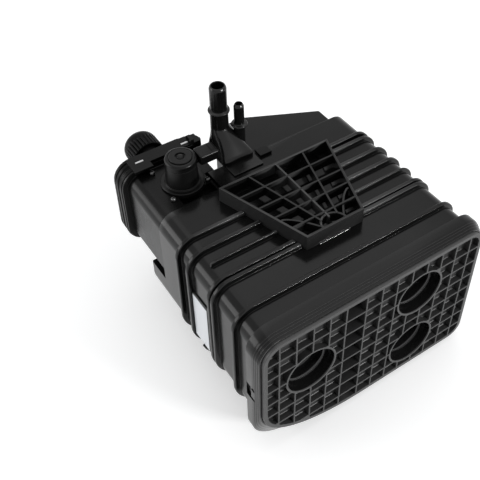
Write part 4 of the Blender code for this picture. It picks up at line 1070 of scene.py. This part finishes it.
ground = bpy.data.meshes.new("floor")
bm = bmesh.new()
bmesh.ops.create_grid(bm, x_segments=1, y_segments=1, size=6.0)
bm.to_mesh(ground)
bm.free()
floor = bpy.data.objects.new("floor", ground)
floor.location = (0.0, 0.0, -0.0004)
bpy.context.scene.collection.objects.link(floor)
sheet = bpy.data.materials.new("white floor")
sheet.use_nodes = True
tree = sheet.node_tree
tree.nodes.clear()
matte = tree.nodes.new("ShaderNodeBsdfDiffuse")
matte.inputs["Color"].default_value = (0.82, 0.82, 0.82, 1.0)
lit = tree.nodes.new("ShaderNodeEmission")
lit.inputs["Color"].default_value = (1.0, 1.0, 1.0, 1.0)
lit.inputs["Strength"].default_value = 0.42
total = tree.nodes.new("ShaderNodeAddShader")
tree.links.new(matte.outputs[0], total.inputs[0])
tree.links.new(lit.outputs[0], total.inputs[1])
choose(tree, matte.outputs[0], total.outputs[0], "ShaderNodeOutputMaterial")
ground.materials.append(sheet)

world = bpy.data.worlds.new("studio")
bpy.context.scene.world = world
world.use_nodes = True
tree = world.node_tree
tree.nodes.clear()
coords = tree.nodes.new("ShaderNodeTexCoord")
facing = tree.nodes.new("ShaderNodeVectorMath")
facing.operation = "DOT_PRODUCT"
facing.inputs[1].default_value = (0.42, 0.64, 0.64)
tree.links.new(coords.outputs["Generated"], facing.inputs[0])
ramp = tree.nodes.new("ShaderNodeMapRange")
for slot, number in zip((1, 2, 3, 4), (-0.9, 0.9, 0.20, 0.62)):
    ramp.inputs[slot].default_value = number
tree.links.new(facing.outputs["Value"], ramp.inputs[0])
room = tree.nodes.new("ShaderNodeBackground")
room.inputs["Color"].default_value = (0.98, 0.99, 1.0, 1.0)
tree.links.new(ramp.outputs[0], room.inputs["Strength"])
white = tree.nodes.new("ShaderNodeBackground")
white.inputs["Color"].default_value = (1.0, 1.0, 1.0, 1.0)
white.inputs["Strength"].default_value = 1.0
choose(tree, room.outputs[0], white.outputs[0], "ShaderNodeOutputWorld")


def lamp(name, place, target, wide, tall, power):
    data = bpy.data.lights.new(name, "AREA")
    data.shape = "RECTANGLE"
    data.size = wide
    data.size_y = tall
    data.energy = power
    obj = bpy.data.objects.new(name, data)
    obj.location = place
    obj.rotation_euler = (Vector(target) - Vector(place)).to_track_quat("-Z", "Y").to_euler()
    bpy.context.scene.collection.objects.link(obj)


lamp("overhead", (0.1, 0.3, 1.6), (0.0, 0.0, 0.1), 1.6, 1.6, 6.0)
lamp("front strip", (0.77, -1.69, 0.53), (0.0, 0.0, 0.10), 0.50, 0.06, 28.0)
lamp("left fill", (-1.3, 0.8, 0.45), (0.0, 0.0, 0.1), 0.9, 0.7, 8.0)

# Camera fitted to the picture; its place is in pitches of the cover's grid and its lens in pixels
RIGHT = Vector((0.8340, -0.5517, -0.0113))
DOWN = Vector((-0.3765, -0.5540, -0.7425))
AHEAD = Vector((0.4034, 0.6235, -0.6697))
EYE = Vector((-11.383, -17.261, 39.413))
PICTURE = 480.0
FOCAL = 783.65
CENTRE = (256.66, 163.61)
SENSOR = 36.0
data = bpy.data.cameras.new("camera")
camera = bpy.data.objects.new("camera", data)
bpy.context.scene.collection.objects.link(camera)
turn = Matrix((RIGHT, -DOWN, -AHEAD)).transposed()
camera.matrix_world = Matrix.Translation(EYE * COLUMN_PITCH + Vector(ORIGIN)) @ turn.to_4x4()
data.sensor_width = SENSOR
data.lens = FOCAL * SENSOR / PICTURE
data.shift_x = (PICTURE / 2 - CENTRE[0]) / PICTURE
data.shift_y = (CENTRE[1] - PICTURE / 2) / PICTURE
data.clip_end = 30.0
bpy.context.scene.camera = camera
bpy.context.scene.view_settings.view_transform = "Standard"
